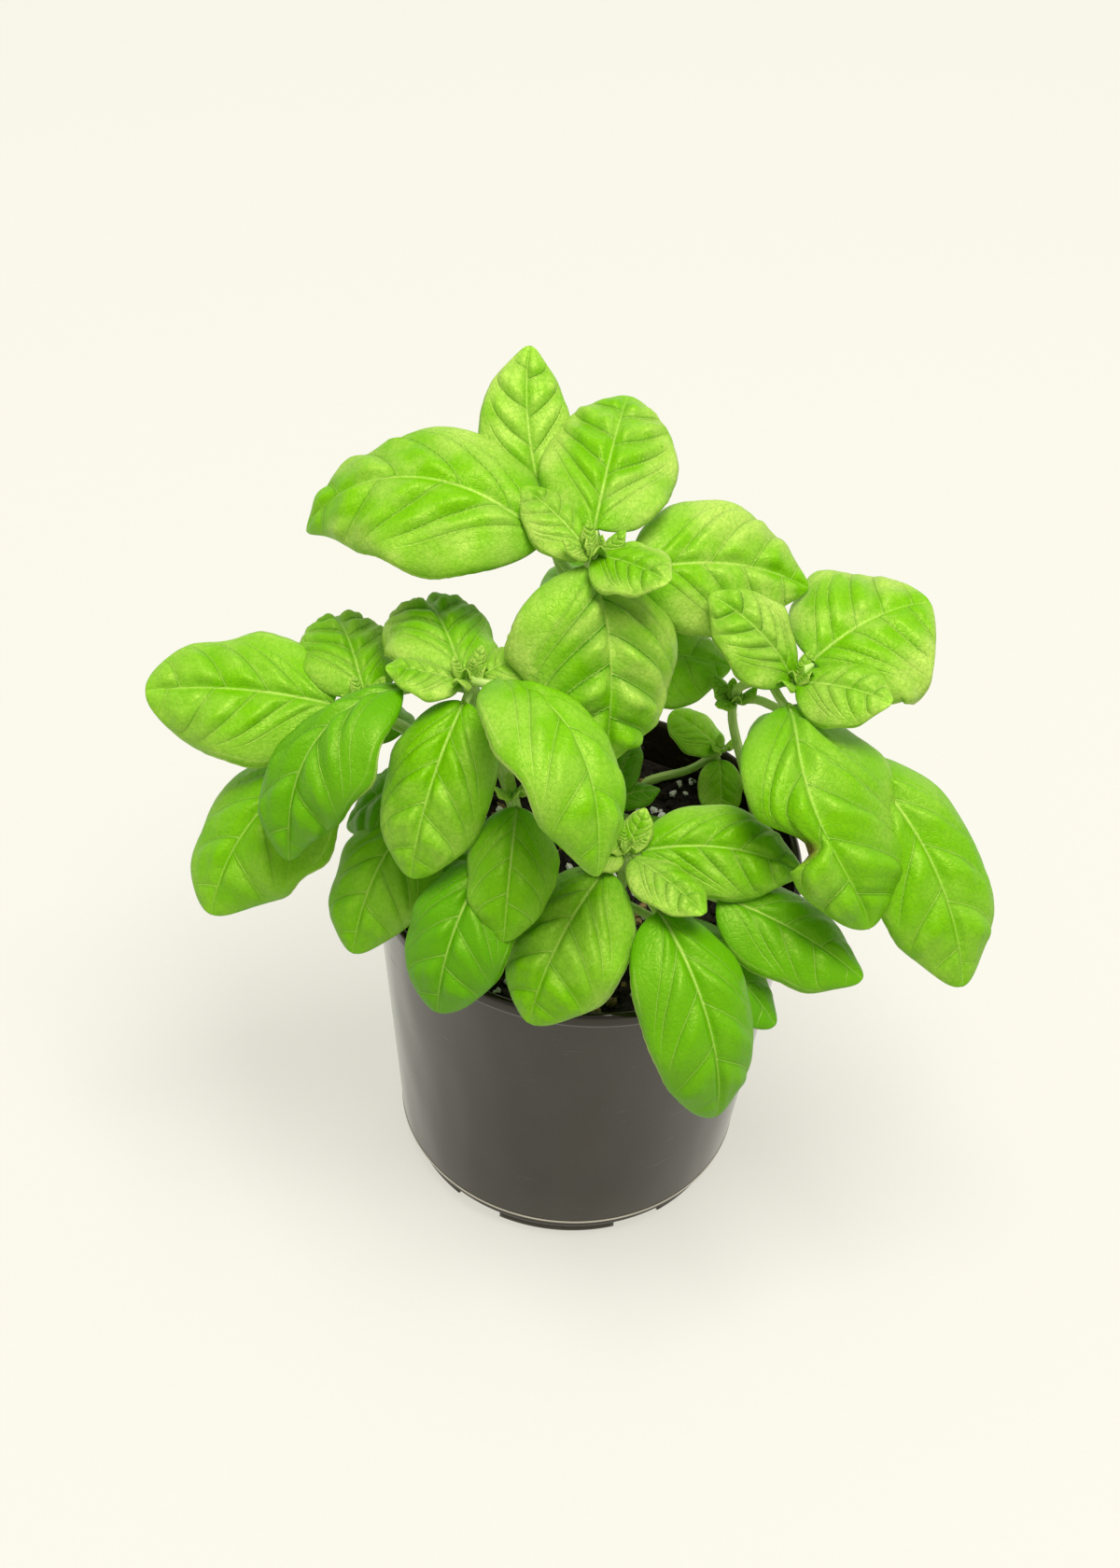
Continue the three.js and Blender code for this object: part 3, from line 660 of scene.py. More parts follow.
def side_veins(leaf, u, v):
    """Numbers the side veins: the vein that leaves the rib at u0 meets v at
    u = u0 + (1 - u0) (0.5 |v| + 0.2 |v|^3), so it sets off steeply and arches over to the
    tip. The first leaves at u0 = 0.02, with more of them on a strongly quilted blade."""
    far = np.abs(v)
    bend = 0.5 * far + 0.2 * far**3
    start = (u - bend) / (1 - bend)
    share = (start - 0.02) / 0.78
    pairs = 3.2 + 0.8 * min(leaf.quilt, 1.6)
    number = 1 + pairs * np.sign(share) * np.abs(share) ** 0.8
    return number + np.where(v < 0, 0.14, -0.12)


def gradient_lengths(points, values):
    """Distance in mm per unit of values, from the rates along both ways of the grid."""
    rate = 0
    for axis in (0, 1):
        move = np.linalg.norm(np.gradient(points, axis=axis), axis=-1) + 1e-4
        rate = rate + (np.gradient(values, axis=axis) / move) ** 2
    return 1 / np.sqrt(rate + 1e-6)


def blade_surface(leaf, u, v, rng, notch):
    """Middle surface of the blade as in the solids: an arc across, a crease at the rib and a
    wave along the edge, drawn in toward the tip, with a toothed edge and the notch taken out.
    Gives the points, their distance from the rib and the half width, all in mm."""
    centre, side, up = rib_frame(leaf, leaf.stalk + u[:, 0] * leaf.length)
    outline = np.clip(np.sin(np.pi * u**leaf.peak), 0, 1) ** leaf.tip
    half = np.hypot(leaf.width / 2 * outline, 0.9 - 0.75 * u)
    half = half * (1 - np.clip(3.5 * leaf.tip - 1.33, 0.03, 0.35) * smooth(0.78, 1.0, u))
    teeth = np.round(leaf.length / 4.2)
    scallop = np.abs(np.sin(np.pi * teeth * u + (v > 0))) ** 0.7 - 0.6
    start = rng.uniform(0, 6, 2)
    uneven = np.sin(3.4 * np.pi * u + np.where(v > 0, *start)) * np.sin(np.pi * u)
    room = np.clip(leaf.length / 60, 0.25, 1)
    reach = 1 + room * (0.16 * scallop * (1 - u**6) + 0.35 * uneven) * np.abs(v) ** 5 / (half + 2)
    cup = np.radians(leaf.cup)
    across = half * np.sin(cup * v) / cup * reach
    rib_far = np.abs(across)
    if notch is not None:
        where, sign, depth, back, ahead, skew = notch
        share = (u - where) / np.where(u < where, back, ahead)
        gone = np.exp(-(share**2)) * (np.sign(v) == sign)
        rib = skew * half * np.sin(np.pi * u)
        across = across + rib * (1 - v * v)
        rib_far = np.abs(across - rib) * (1 - depth * gone)
        across = rib + (across - rib) * (1 - depth * gone)
    sag = half * (1 - np.cos(cup * v)) / cup
    phase = np.radians(leaf.turn) * 2.3 + np.where(v < 0, 1.9, 0)
    ripple = np.sin(4 * np.pi * u + phase) * np.sin(np.pi * u) * v * v
    crease = leaf.width * BLADE["crease"] * outline * (1 - np.exp(-np.abs(v) / 0.15))
    height = leaf.width * BLADE["wave"] * ripple + crease - sag
    points = centre[:, None] + side[:, None] * across[..., None] + up[:, None] * height[..., None]
    return points, rib_far, half


def surface_normal(points):
    """Direction across both ways of the grid, one unit long."""
    normal = np.cross(np.gradient(points, axis=0), np.gradient(points, axis=1))
    return normal / (np.linalg.norm(normal, axis=-1, keepdims=True) + 1e-9)


def blade_relief(leaf, u, v, number, spacing, rib_far, half, rng):
    """Height of the upper face over the smooth blade, in mm: a groove along the rib, a furrow
    at each side vein with the field between them swollen and steeper on its lower side,
    smaller swellings in each field, a slow unevenness, and a frilled edge that turns down."""
    size = size_share(leaf)
    far = np.abs(v)
    fade = min(0.35 + 0.2 * leaf.quilt, 0.8)
    inside = smooth(0.02, 0.15, far) * (1 - smooth(fade, 0.96, far)) * smooth(0.2, 0.9, number)
    inside = inside * (1 - smooth(0.8, 0.98, u))
    ridge = np.abs(np.sin(np.pi * number)) ** 0.9 * (1 + 0.4 * np.sin(2 * np.pi * number))
    most = (0.16 + 0.07 * leaf.quilt) * spacing
    deep = np.minimum((0.1 + 1.5 * leaf.quilt) * size, most) * inside
    a, b = rng.uniform(0, 6, 2)
    cell = np.sin(15 * far + 1.9 * number + a) * np.cos(7 * far - 3.1 * number + b)
    swell = deep * ridge * (1 + 0.3 * cell)
    swell = swell - 0.25 * deep * np.exp(-((off_vein(number, spacing) / (0.9 * size)) ** 2))
    groove = 0.5 * size * np.exp(-((rib_far / (0.9 * size + 0.25)) ** 2)) * (1 - 0.7 * u)
    slow = 0
    for _ in range(3):
        a, b, c = rng.uniform((2, 1, 0), (6, 3, 6))
        slow = slow + np.sin(a * u + b * v * np.sign(c - 3) + c)
    slow = slow * 0.012 * leaf.width * smooth(0, 0.4, far) * np.sin(np.pi * u)
    a, b = rng.uniform(0, 6, 2)
    frill = np.sin(7 * np.pi * u + np.where(v < 0, a, b))
    frill = frill * 0.008 * leaf.width * far**3 * np.sin(np.pi * u)
    roll = 0.07 * half * np.clip((far - 0.8) / 0.2, 0, 1) ** 2
    return swell - groove + slow + frill - roll


def edge_strip(rows, columns):
    """Faces round the edge between an upper grid and the lower grid that follows it."""
    under = rows * columns
    j = np.arange(columns - 1)
    i = np.arange(rows - 1) * columns
    last = (rows - 1) * columns
    right = columns - 1
    strips = [
        (j, j + 1, under + j + 1, under + j),
        (last + j + 1, last + j, under + last + j, under + last + j + 1),
        (i, under + i, under + i + columns, i + columns),
        (i + right, i + right + columns, under + i + right + columns, under + i + right),
    ]
    return np.concatenate([np.stack(strip, 1) for strip in strips])


def over_grid(grid, values):
    """One row for each point of a grid, from grids of that shape and plain numbers."""
    grids = [np.broadcast_to(value, grid.shape) for value in values]
    return np.stack(grids, -1).reshape(-1, len(values))


def blade_body(leaf, rng, notch=None):
    """The whole blade: an upper and a lower face that lie further apart along the rib and the
    side veins, joined round the edge. Its fields are the number of the side vein and v; the
    distance from the rib, the veins' spacing, u and |v|; tone, underside, damage and the
    shade near the stalk; and how strongly it is puckered."""
    rows, columns = next(grid[1:] for grid in BLADE_GRIDS if leaf.length >= grid[0])
    t = np.linspace(-1, 1, columns)[None, :]
    v = np.broadcast_to(np.sign(t) * np.abs(t) ** 1.25, (rows, columns))
    u = np.broadcast_to(0.5 - 0.5 * np.cos(np.pi * np.linspace(0, 1, rows)[:, None]), v.shape)
    points, rib_far, half = blade_surface(leaf, u, v, rng, notch)
    number = side_veins(leaf, u, v)
    spacing = gradient_lengths(points, number)
    relief = blade_relief(leaf, u, v, number, spacing, rib_far, half, rng)
    points = points + surface_normal(points) * relief[..., None]
    normal = surface_normal(points)
    size = size_share(leaf)
    far = np.abs(v)
    vein = np.exp(-((off_vein(number, spacing) / 0.5) ** 2)) * (1 - smooth(0.6, 1, far))
    rib = (1 - u) ** 0.6 * np.exp(-((rib_far / (0.75 * size)) ** 2))
    thick = BLADE["thick"] + size * (0.75 * rib + 0.16 * vein)
    upper = points + normal * (BLADE["thick"] / 2)
    lower = upper - normal * thick[..., None]
    damage = 0
    if notch is not None:
        where, sign = notch[:2]
        near = np.exp(-(((u - where) / 0.04) ** 2)) * smooth(0.25, 0.7, far)
        damage = near * (np.sign(v) == sign)
    tone = leaf.tone + rng.uniform(-0.05, 0.05)
    shade = 1 - smooth(0, 0.25, u)
    looks = {
        "uv": [(number, v)] * 2,
        "reach": [(rib_far, spacing, u, far)] * 2,
        "tone": [(tone, below, damage, shade) for below in (0, 1)],
        "kind": [(min(leaf.quilt, 2) / 2, 0, 0, 1)] * 2,
    }
    fields = {name: np.concatenate([over_grid(u, face) for face in faces])
              for name, faces in looks.items()}
    face = lattice(rows, columns)
    quads = np.concatenate([face, face[:, ::-1] + u.size, edge_strip(rows, columns)])
    return np.stack([upper, lower]).reshape(-1, 3), quads, fields


# ------------------------------------------------------------------ stems


def stem_curve(stem, count=90):
    """Points along the smooth line through the stem's places: each stretch is the cubic whose
    end slopes come from its neighbours, spaced by the square root of their distances."""
    x, y = stem.root
    knots = np.array([(x, y, z) for z in STEM_START] + list(stem.path), float)
    knots = np.vstack([2 * knots[0] - knots[1], knots, 2 * knots[-1] - knots[-2]])
    gaps = spans(knots) ** 0.5
    share = np.linspace(0, len(knots) - 3, count)
    k = np.minimum(share.astype(int), len(knots) - 4)
    t = (share - k)[:, None]
    before, here, after, beyond = (knots[k + n] for n in range(4))
    d0, d1, d2 = (gaps[k + n][:, None] for n in range(3))
    out = (here - before) / d0 - (after - before) / (d0 + d1) + (after - here) / d1
    into = (after - here) / d1 - (beyond - here) / (d1 + d2) + (beyond - after) / d2
    m0, m1 = out * d1, into * d1
    bend = (2 * here - 2 * after + m0 + m1) * t**3
    return bend + (-3 * here + 3 * after - 2 * m0 - m1) * t**2 + m0 * t + here


def path_sides(centres):
    """Side and up at each point of a path: side stays as near +X as the path lets it."""
    along = unit(np.gradient(centres, axis=0))
    side = unit(np.array([1.0, 0, 0]) - along * along[:, :1])
    return side, np.cross(along, side)


def stem_tube(stem):
    """The stem: a rounded square section, a little thicker at each joint and slimmer at the
    top. Gives its shape, and its run for the hairs."""
    centres = stem_curve(stem)
    side, up = path_sides(centres)
    share = np.linspace(0, 1, len(centres))
    radii = stem.width * (0.54 - 0.17 * share)
    for row in stem.leaves:
        far = np.linalg.norm(centres - np.array(row[:3]), axis=1)
        radii = radii + 0.035 * stem.width * np.exp(-((far / 2.6) ** 2))
    radii = radii * (1 - 0.85 * smooth(0.97, 1.0, share))
    return tube(centres, side, up, radii, square=0.05, sides=20), (centres, side, up, radii)


def stalk_tube(leaf, centres):
    """A leaf's stalk: a tube with a channel on top that starts inside the stem and runs on
    under the first half of the blade as its rib, ever thinner and deeper. Gives its shape,
    and its run for the hairs."""
    radius = 0.8 if leaf.length < 30 else 1.15
    radius = min(radius, 0.09 * leaf.length)
    rib = leaf.length * 0.5
    s = np.linspace(0, leaf.stalk + rib, 44)
    centre, side, up = rib_frame(leaf, s)
    blend = np.clip(s / (leaf.stalk + 0.01), 0, 1)
    under = smooth(0, 1, (s - leaf.stalk) / rib)
    radii = radius * (1.12 - 0.12 * blend) * (1 - 0.8 * under)
    centre = centre + up * ((0.1 - radii) * blend - 0.5 * under - 0.25 * blend)[:, None]
    anchor = centres[np.argmin(np.linalg.norm(centres - [leaf.x, leaf.y, leaf.z], axis=1))]
    pull = np.exp(-((s / 2.2) ** 2))[:, None]
    centre = centre * (1 - pull) + (anchor + (centre - centre[0])) * pull
    return tube(centre, side, up, radii, dent=0.16, sides=12), (centre, side, up, radii)


def tip_leaves(name):
    """Rows for the small folded leaves of a stem's growing tips: each pair stands across the
    one below it, steeper and shorter."""
    rows = []
    for stem, x, y, z, turn, longest, count in TIPS:
        for k in range(count if stem == name else 0):
            pair = k // 2
            length = longest * (1 - 0.2 * pair)
            rows.append((
                x, y, z, turn + 90 * pair + 180 * (k % 2), 30 + 16 * pair, -20, 0.6, length,
                length * 0.72, 0, 0, 75, 0.5, 0.8, 1.0, 1.6,
            ))
    return rows


def hair_shape(runs, rng, per_mm=1.6, length=0.75, radius=0.055):
    """Hairs on tubes: thin three-sided spikes whose feet are spread over each tube at random
    and which lean a little towards its tip."""
    feet, ways = [], []
    for centres, side, up, radii in runs:
        count = int(per_mm * spans(centres).sum())
        index = rng.integers(2, len(centres) - 3, count)
        angle = rng.uniform(0, 2 * np.pi, count)[:, None]
        out = side[index] * np.cos(angle) + up[index] * np.sin(angle)
        lean = unit(centres[index + 1] - centres[index])
        feet.append(centres[index] + out * radii[index][:, None] * 0.93)
        ways.append(out + 0.35 * lean + rng.normal(0, 0.15, (count, 3)))
    feet, ways = np.concatenate(feet), np.concatenate(ways)
    keep = feet[:, 2] > SOIL["level"] + 1
    feet, ways = feet[keep], unit(ways[keep])
    level = unit(np.cross(ways, [0.3, 0.5, 0.8]))
    other = np.cross(ways, level)
    angle = np.radians([0, 120, 240])[None, :, None]
    out = level[:, None] * np.cos(angle) + other[:, None] * np.sin(angle)
    foot = feet[:, None] + radius * out
    reach = length * rng.uniform(0.6, 1.1, (len(feet), 1))
    points = np.concatenate([foot, (feet + ways * reach)[:, None]], axis=1).reshape(-1, 3)
    face = np.array([[0, 1, 3, 3], [1, 2, 3, 3], [2, 0, 3, 3], [2, 1, 0, 0]])
    quads = (face[None] + 4 * np.arange(len(feet))[:, None, None]).reshape(-1, 4)
    return points, quads, {}


# ------------------------------------------------------------------ pot and soil


def outer_radius(z):
    """The pot's outer wall widens evenly from the base to the rim."""
    share = (z - POT["foot"]) / (POT["height"] - POT["foot"])
    return POT["base"] + (POT["rim"] - POT["lip_step"] - POT["base"]) * share


def inner_radius(z):
    """The inner wall runs beside the outer one."""
    return outer_radius(z) - POT["wall"]


def rounded(profile, cut, steps=6):
    """Rounds each inner corner of a profile: the corner gives way to the curve
    (1-t)^2 a + 2t(1-t) corner + t^2 b between two points at most cut from it."""
    profile = np.array(profile, float)
    corner = profile[1:-1]
    back, ahead = profile[:-2] - corner, profile[2:] - corner
    back_length = np.linalg.norm(back, axis=1, keepdims=True)
    ahead_length = np.linalg.norm(ahead, axis=1, keepdims=True)
    a = corner + back / back_length * np.minimum(cut, 0.45 * back_length)
    b = corner + ahead / ahead_length * np.minimum(cut, 0.45 * ahead_length)
    t = np.linspace(0, 1, steps)[None, :, None]
    curve = (1 - t) ** 2 * a[:, None] + 2 * t * (1 - t) * corner[:, None] + t**2 * b[:, None]
    return np.vstack([profile[:1], curve.reshape(-1, 2), profile[-1:]])


def pot_profile():
    """Radius and height round the pot's wall, from the middle of its underside outwards, up
    the outside, over the lip and down the inside to the middle of its floor."""
    base = POT["foot"]
    band = base + POT["band"]
    top = POT["height"]
    lip = top - POT["lip"]
    floor = base + POT["floor"]
    foot = POT["base"] - POT["band_step"]
    ridges = foot + 0.35, outer_radius(band + 1.2) + 0.3
    return [
        (0, base), (foot - 1.2, base), (foot, base + 1), (foot, band),
        (ridges[0], band + 0.3), (ridges[0], band + 0.8), (outer_radius(band) - 0.5, band + 1),
        (ridges[1], band + 1.3), (ridges[1], band + 1.9), (outer_radius(band + 2.3), band + 2.3),
        (outer_radius(lip - 1), lip - 1), (POT["rim"], lip), (POT["rim"], top - 0.9),
        (POT["rim"] - 0.7, top), (POT["rim"] - 1.6, top), (inner_radius(top), top - 0.8),
        (inner_radius(lip), lip), (inner_radius(floor + 1), floor + 1),
        (inner_radius(floor) - 1.2, floor), (0, floor),
    ]


def foot_shape(middle, steps=25):
    """One foot: a rounded bar carried along an arc under the base, its top sunk into it."""
    outer = POT["base"] - POT["band_step"] - POT["foot_inset"]
    inner = outer - POT["foot_width"]
    sweep = np.radians(POT["foot_sweep"])
    angle = middle + np.linspace(-0.5, 0.5, steps) * sweep
    top = POT["foot"] + 0.3
    section = rounded([(inner, top), (inner, 0), (outer, 0), (outer, top)], 0.5, 5)
    rings = polar(section[:, 0], angle[:, None], section[:, 1])
    points = np.concatenate([rings.reshape(-1, 3), rings[[0, -1]].mean(axis=1)])
    return points, closed_rings(steps, len(section), turned=True), {}


def soil_height(x, y):
    """The lumpy top of the soil, as in the solids, which falls a little near its edge."""
    broad = np.sin(x * 0.21 + 1.3) * np.cos(y * 0.17 - 0.4)
    fine = np.sin(x * 0.47 - y * 0.39) * np.cos(y * 0.52 + x * 0.11)
    low = SOIL["fall"] * smooth(0.8, 1.0, np.hypot(x, y) / soil_edge())
    return SOIL["level"] + SOIL["lump"] * (broad + 0.6 * fine) - low


def crumble(x, y, rng):
    """Fine unevenness in mm: waves in random directions, each octave shorter and lower, with
    their crests sharpened."""
    total = 0
    for wave, height in ((9, 0.5), (5, 0.42), (2.9, 0.34), (1.7, 0.26), (1.1, 0.16)):
        for _ in range(3):
            way, phase = rng.uniform(0, 2 * np.pi, 2)
            turn = (x * np.cos(way) + y * np.sin(way)) * 2 * np.pi / wave + phase
            total = total + height * (0.5 - np.abs(np.sin(turn / 2)))
    return total


def soil_edge():
    """Radius of the soil at its top edge."""
    return inner_radius(SOIL["level"] - SOIL["fall"]) - POT["gap"]


def soil_shape(rng, rings=110, sides=240):
    """The soil's body: a spun profile whose top rings are lifted to the lumpy surface, with
    fine crumbs everywhere but on the edge."""
    low = POT["foot"] + POT["floor"] + 1 + POT["gap"]
    edge = soil_edge()
    floor_edge = inner_radius(low) - POT["gap"]
    wall = np.linspace(0, 1, 8)
    top = np.linspace(1, 0, rings)[1:]
    radius = np.concatenate([[0], floor_edge + (edge - floor_edge) * wall, edge * top])
    rise = SOIL["level"] - SOIL["fall"] - low
    height = np.concatenate([[low], low + rise * wall, 0 * top + SOIL["level"]])
    points, quads, fields = spin(radius, height, sides)
    lifted = points[:, 2] == SOIL["level"]
    x, y = points[lifted, 0], points[lifted, 1]
    crumbs = crumble(x, y, rng) * (np.hypot(x, y) / edge < 0.99)
    points[lifted, 2] = soil_height(x, y) + crumbs
    return points, quads, fields


def scattered(count, size, squash, lift, rng):
    """Angular bits on the soil: unit spheres of 5 by 7 points, each corner moved in or out at
    random, scaled to a size between the two given, squashed on three axes to no less than the
    share given, turned at random, and set with their middles lifted off the surface."""
    rows, sides = 5, 7
    tilt = np.pi * (np.arange(rows)[:, None] + 0.5) / rows
    ball = polar(np.sin(tilt), steps_round(sides), np.cos(tilt)).reshape(-1, 3)
    ball = np.vstack([ball, [0, 0, 1], [0, 0, -1]])
    face = closed_rings(rows, sides, turned=True)
    far = soil_edge() * 0.97 * np.sqrt(rng.uniform(0, 1, count))
    way = rng.uniform(0, 2 * np.pi, count)
    x, y = far * np.cos(way), far * np.sin(way)
    roots = np.array([stem.root for stem in STEMS])
    gap = np.linalg.norm(np.stack([x, y], 1)[:, None] - roots, axis=-1).min(axis=1)
    clear = gap > SOIL["stem_gap"]
    x, y = x[clear], y[clear]
    count = len(x)
    sizes = rng.uniform(*size, (count, 1, 1)) / 2
    stretch = rng.uniform(squash, 1, (count, 1, 3))
    knobs = rng.uniform(0.72, 1.12, (count, len(ball), 1))
    frames = np.linalg.qr(rng.normal(size=(count, 3, 3)))[0]
    frames[:, :, 0] *= np.linalg.det(frames)[:, None]
    bits = (ball[None] * knobs * sizes * stretch) @ frames.transpose(0, 2, 1)
    points = bits + np.stack([x, y, soil_height(x, y) + lift], 1)[:, None]
    quads = face[None] + (len(ball) * np.arange(count))[:, None, None]
    return points.reshape(-1, 3), quads.reshape(-1, 4), {}


# ------------------------------------------------------------------ settings


def amount(name, description, default, least=0):
    """A whole number of things."""
    return bpy.props.IntProperty(name=name, description=description, default=default, min=least)


def measure(name, description, default, **more):
    """A size, a share or a strength, with its unit, subtype or range."""
    return bpy.props.FloatProperty(name=name, description=description, default=default, **more)


def colour(name, description, default):
    """A colour setting, in linear light."""
    return bpy.props.FloatVectorProperty(
        name=name, description=description, default=default, subtype="COLOR", min=0, max=1, size=3
    )


class PotLook(bpy.types.PropertyGroup):
    sides: amount("Sides", "Steps round the pot", 192, 24)
    roughness: measure("Roughness", "Roughness of clean plastic", 0.14, min=0, max=1)
    colour: colour("Plastic", "Main colour of the plastic", (0.009, 0.0065, 0.003))
    colour_warm: colour("Warm plastic", "Colour of the flow marks", (0.017, 0.013, 0.007))
    dust_colour: colour("Dust", "Colour of dust and scuffs", (0.4, 0.37, 0.3))
    # Colour of the painted highlight lines along the two ridges round the base.
    ridge_highlight_colour: colour("Beads", "Rubbed ridges round the base", (0.6, 0.56, 0.46))


class SoilLook(bpy.types.PropertyGroup):
    perlite: amount("Perlite", "White bits on the surface", 260)
    bark: amount("Bark", "Bark bits on the surface", 120)
    crumbs: amount("Crumbs", "Loose crumbs of soil", 900)
    dark_colour: colour("Damp soil", "Darkest soil", (0.006, 0.004, 0.003))
    brown_colour: colour("Dry soil", "Lightest soil", (0.045, 0.028, 0.018))
    fibre_colour: colour("Fibre", "Pale fibres in the soil", (0.2, 0.14, 0.08))


class LeafLook(bpy.types.PropertyGroup):
    roughness: measure("Roughness", "Roughness of the upper face", 0.33, min=0, max=1)
    glow: measure("Glow", "Share of light that passes through", 0.36, min=0, max=1)
    # The darkest green also paints the shade near the stalk and on shaded leaves.
    old_and_shaded_colour: colour("Old leaf", "Darkest green", (0.1, 0.38, 0.0005))
    leaf_colour: colour("Leaf", "Main green", (0.23, 0.58, 0.001))
    # The furrow green is painted shade in the furrows and beside the veins.
    furrow_shade_colour: colour("Furrow", "Green of the deepest furrows", (0.04, 0.2, 0.0004))
    # The palest green is also the painted sheen on lit parts of the blades.
    young_and_sheen_colour: colour("Young leaf", "Palest green", (0.58, 0.77, 0.14))
    vein_colour: colour("Veins", "Rib, side veins and edge", (0.68, 0.86, 0.2))
    under_colour: colour("Underside", "Lower face", (0.28, 0.52, 0.06))
    glow_colour: colour("Light through", "Light that passes through", (0.5, 0.85, 0.005))
    damage_colour: colour("Damage", "Dried edge of the notch", (0.16, 0.08, 0.03))
    stalk_colour: colour("Stalk", "Stems and stalks", (0.4, 0.64, 0.1))
    stalk_pale: colour("Pale stalk", "Pale streaks on stems", (0.68, 0.84, 0.3))


class StageLook(bpy.types.PropertyGroup):
    distance: measure("Distance", "Camera to plant", 0.81, unit="LENGTH")
    lens: measure("Lens", "Focal length", 68.57, unit="CAMERA")
    roll: measure("Roll", "Camera turned about its view", math.radians(4.2), subtype="ANGLE")
    key: measure("Key light", "Power of the main light", 66.0, unit="POWER")
    fill: measure("Fill light", "Power of each side light", 1.2, unit="POWER")
    sky: measure("Sky", "Strength of the even light", 0.6, min=0)
    floor_glow: measure("Floor glow", "Light given off by the floor", 0.61, min=0)
    floor_colour: colour("Floor", "Floor and backdrop", (0.2, 0.198, 0.19))


# ------------------------------------------------------------------ operators


def aimed(place, target):
    """The place and turn of an object that looks from place at target."""
    turn = (target - place).to_track_quat("-Z", "Y").to_matrix().to_4x4()
    return Matrix.Translation(place) @ turn


class BASIL_OT_pot(bpy.types.Operator):
    """Makes the pot from its spun wall and six feet"""

    bl_idname = "basil.pot"
    bl_label = "Pot"

    def execute(self, context):
        look = context.scene.basil_pot
        profile = rounded(pot_profile(), 0.45)
        wall = spin(profile[:, 0], profile[:, 1], look.sides)
        feet = [foot_shape(turn) for turn in steps_round(POT["foot_count"]) - np.pi / 2]
        new_piece("pot_shell", shapes(wall, *feet), pot_material(look), "pot")
        return {"FINISHED"}


class BASIL_OT_soil(bpy.types.Operator):
    """Makes the soil's body and its loose crumbs"""

    bl_idname = "basil.soil"
    bl_label = "Soil"

    def execute(self, context):
        look = context.scene.basil_soil
        new_piece("soil_bed", soil_shape(draws("bed")), soil_material(look), "soil")
        crumbs = scattered(look.crumbs, (1.2, 3.6), 0.6, 0.1, draws("crumbs"))
        material = soil_material(look, "soil_crumbs", 0.12)
        new_piece("soil_crumbs", crumbs, material, "soil", smooth=False)
        return {"FINISHED"}


class BASIL_OT_grit(bpy.types.Operator):
    """Scatters perlite and bark over the soil"""

    bl_idname = "basil.grit"
    bl_label = "Perlite and bark"

    def execute(self, context):
        look = context.scene.basil_soil
        white = grit_material("perlite", (0.95, 0.93, 0.88), (0.75, 0.72, 0.64), 1400.0)
        brown = grit_material("bark", (0.3, 0.2, 0.07), (0.1, 0.055, 0.02), 700.0)
        perlite = scattered(look.perlite, (1.3, 3.2), 0.6, 0.7, draws("perlite"))
        bark = scattered(look.bark, (2.0, 5.0), 0.25, 0.5, draws("bark"))
        new_piece("perlite", perlite, white, "soil", smooth=False)
        new_piece("bark", bark, brown, "soil", smooth=False)
        return {"FINISHED"}


class BASIL_OT_leafy_stem(bpy.types.Operator):
    """Makes one stem with its stalks, leaves and hairs"""

    bl_idname = "basil.leafy_stem"
    bl_label = "Leafy stem"

    index: amount("Stem", "Place in the list of stems", 0)

    def execute(self, context):
        look = context.scene.basil_leaf
        stem = STEMS[self.index]
        rng = draws("stem", self.index)
        leaves = [Leaf(*row) for row in list(stem.leaves) + tip_leaves(stem.name)]
        blades = [
            blade_body(leaf, rng, NOTCHES.get((stem.name, k))) for k, leaf in enumerate(leaves)
        ]
        trunk, run = stem_tube(stem)
        stalks = [stalk_tube(leaf, run[0]) for leaf in leaves]
        green = ready("basil_leaf", leaf_material, look)
        pale = ready("basil_stalk", stalk_material, look)
        white = ready("stem_hairs", hair_material, look)
        new_piece(stem.name + "_leaves", shapes(*blades), green, stem.name)
        tubes = shapes(trunk, *(stalk for stalk, _ in stalks))
        new_piece(stem.name + "_stalks", tubes, pale, stem.name)
        hairs = hair_shape([run] + [line for _, line in stalks], rng)
        new_piece(stem.name + "_hairs", hairs, white, stem.name, smooth=False)
        return {"FINISHED"}


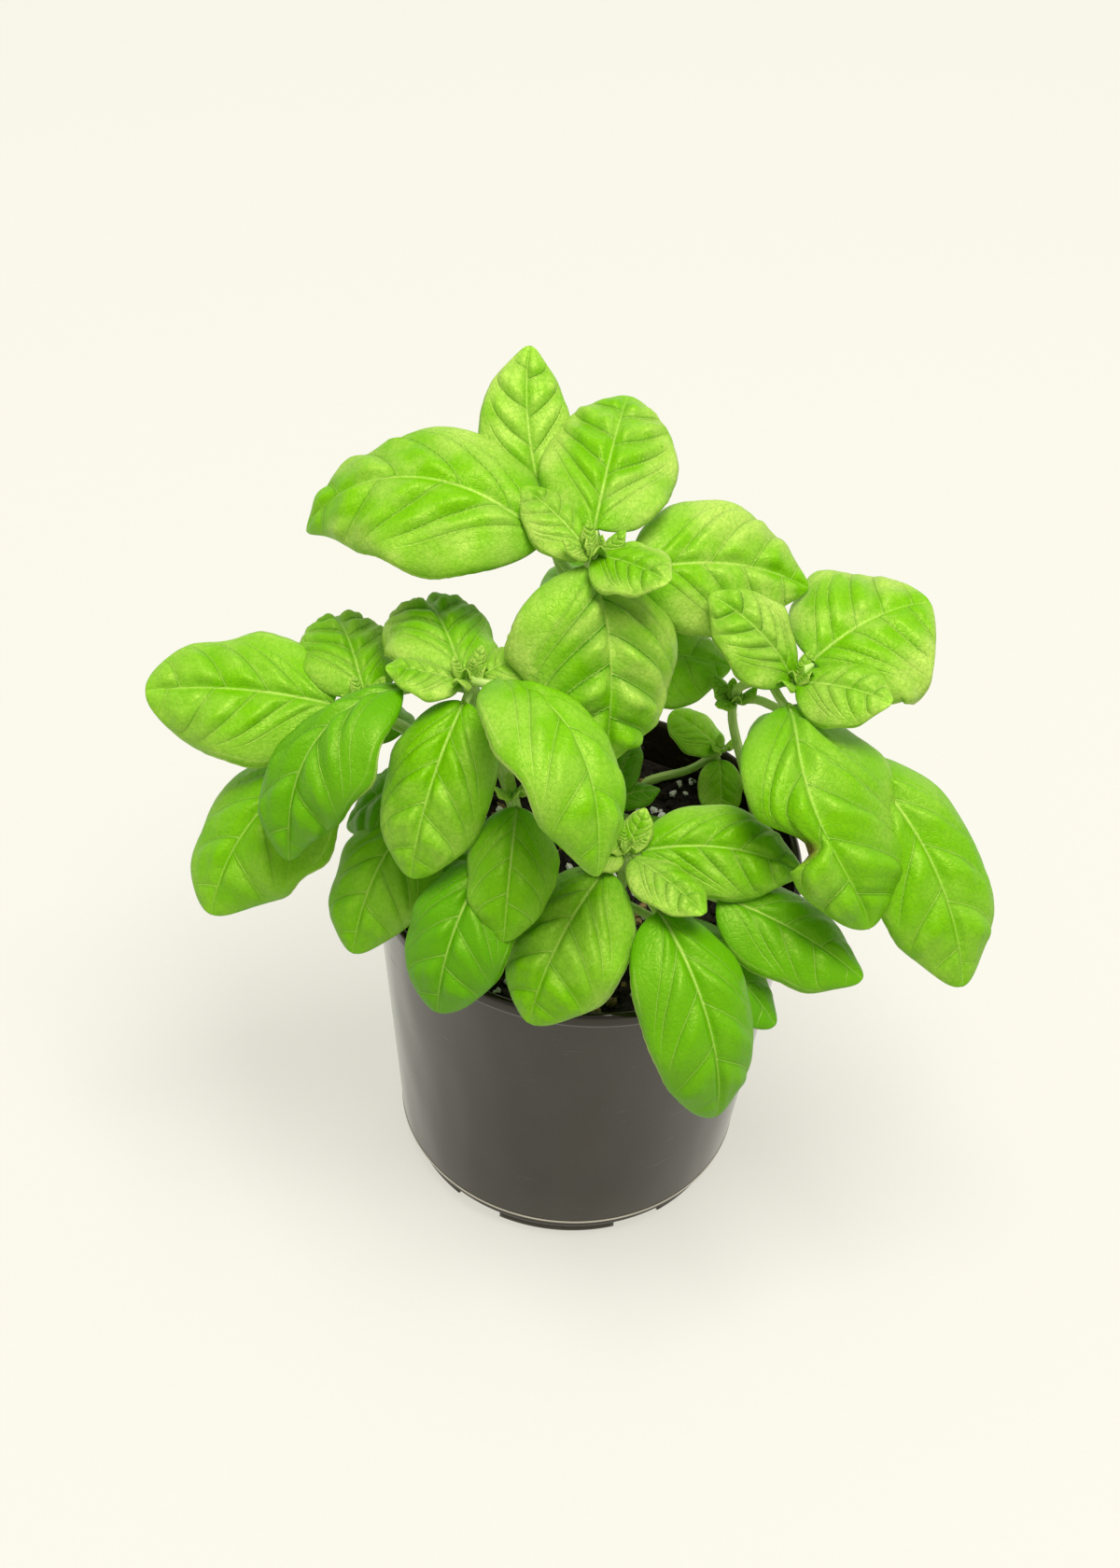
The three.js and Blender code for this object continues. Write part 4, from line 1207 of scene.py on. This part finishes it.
class BASIL_OT_stage(bpy.types.Operator):
    """Sets up the floor, the soft lights, the even sky and the camera"""

    bl_idname = "basil.stage"
    bl_label = "Stage"

    def execute(self, context):
        look = context.scene.basil_stage
        self.add_floor(look)
        self.add_lights(look)
        self.add_camera(context.scene, look)
        world = bpy.data.worlds.new("even_light")
        world.use_nodes = True
        sky = world.node_tree.nodes["Background"]
        sky.inputs["Color"].default_value = (1.0, 0.985, 0.94, 1)
        sky.inputs["Strength"].default_value = look.sky
        context.scene.world = world
        context.scene.view_settings.view_transform = "Standard"
        return {"FINISHED"}

    def add_floor(self, look):
        """A sheet that lies flat round the pot and rises as a smooth wall far behind."""
        half, steps, under_feet = 1.6, 61, 0.0004
        run = np.linspace(-half, half, steps)
        across, back = np.meshgrid(run, run)
        rise = 1.2 * smooth(0.9, half, back) ** 1.5
        points = np.stack([across, back, rise - under_feet], -1).reshape(-1, 3)
        mesh = bpy.data.meshes.new("floor")
        mesh.from_pydata(points, [], lattice(steps, steps)[:, ::-1].tolist())
        mesh.materials.append(floor_material(look))
        placed("floor", mesh)

    def add_lights(self, look):
        """A broad key light overhead, and a soft light at each side."""
        lights = [
            ("key_light", look.key, 1.1, (0.2, -0.35, 2.3)),
            ("left_light", look.fill, 0.5, (-1.2, 0.3, 0.6)),
            ("right_light", look.fill, 0.5, (1.2, 0.3, 0.6)),
        ]
        for name, power, size, place in lights:
            lamp = bpy.data.lights.new(name, "AREA")
            lamp.energy = power
            lamp.size = size
            lamp.color = (1.0, 0.98, 0.94)
            placed(name, lamp).matrix_world = aimed(Vector(place), Vector((0, 0, 0.12)))

    def add_camera(self, scene, look):
        """Looks down at the plant from the front, a little rolled."""
        shift = Vector(MIDDLE * MM)
        target = Vector((-0.009, 0, 0.136)) + shift
        back = Vector((0.0111, -0.7157, 0.6984)).normalized()
        place = target + back * look.distance
        lens = bpy.data.cameras.new("camera")
        lens.sensor_fit = "VERTICAL"
        lens.sensor_height = 36
        lens.lens = look.lens
        lens.clip_start = 0.01
        camera = placed("camera", lens)
        camera.matrix_world = aimed(place, target) @ Matrix.Rotation(look.roll, 4, "Z")
        scene.camera = camera


class BASIL_PT_panel(bpy.types.Panel):
    """Lists the pieces of the potted basil"""

    bl_label = "Potted basil"
    bl_space_type = "VIEW_3D"
    bl_region_type = "UI"
    bl_category = "Basil"

    def draw(self, context):
        layout = self.layout
        for operator in ("basil.pot", "basil.soil", "basil.grit", "basil.stage"):
            layout.operator(operator)
        for index, stem in enumerate(STEMS):
            layout.operator("basil.leafy_stem", text=stem.name).index = index
        for group in GROUPS:
            settings = getattr(context.scene, group)
            for name in settings.__annotations__:
                layout.prop(settings, name)


GROUPS = {
    "basil_pot": PotLook,
    "basil_soil": SoilLook,
    "basil_leaf": LeafLook,
    "basil_stage": StageLook,
}
OTHERS = (
    BASIL_OT_pot,
    BASIL_OT_soil,
    BASIL_OT_grit,
    BASIL_OT_leafy_stem,
    BASIL_OT_stage,
    BASIL_PT_panel,
)


def register():
    """Registers the settings, then the operators and the panel."""
    for name, group in GROUPS.items():
        bpy.utils.register_class(group)
        setattr(bpy.types.Scene, name, bpy.props.PointerProperty(type=group))
    for other in OTHERS:
        bpy.utils.register_class(other)


def unregister():
    """Takes back what register did."""
    for other in reversed(OTHERS):
        bpy.utils.unregister_class(other)
    for name, group in GROUPS.items():
        delattr(bpy.types.Scene, name)
        bpy.utils.unregister_class(group)


def main():
    """Makes every piece and the stage."""
    register()
    bpy.ops.basil.pot()
    bpy.ops.basil.soil()
    bpy.ops.basil.grit()
    for index in range(len(STEMS)):
        bpy.ops.basil.leafy_stem(index=index)
    bpy.ops.basil.stage()


if __name__ == "__main__":
    main()
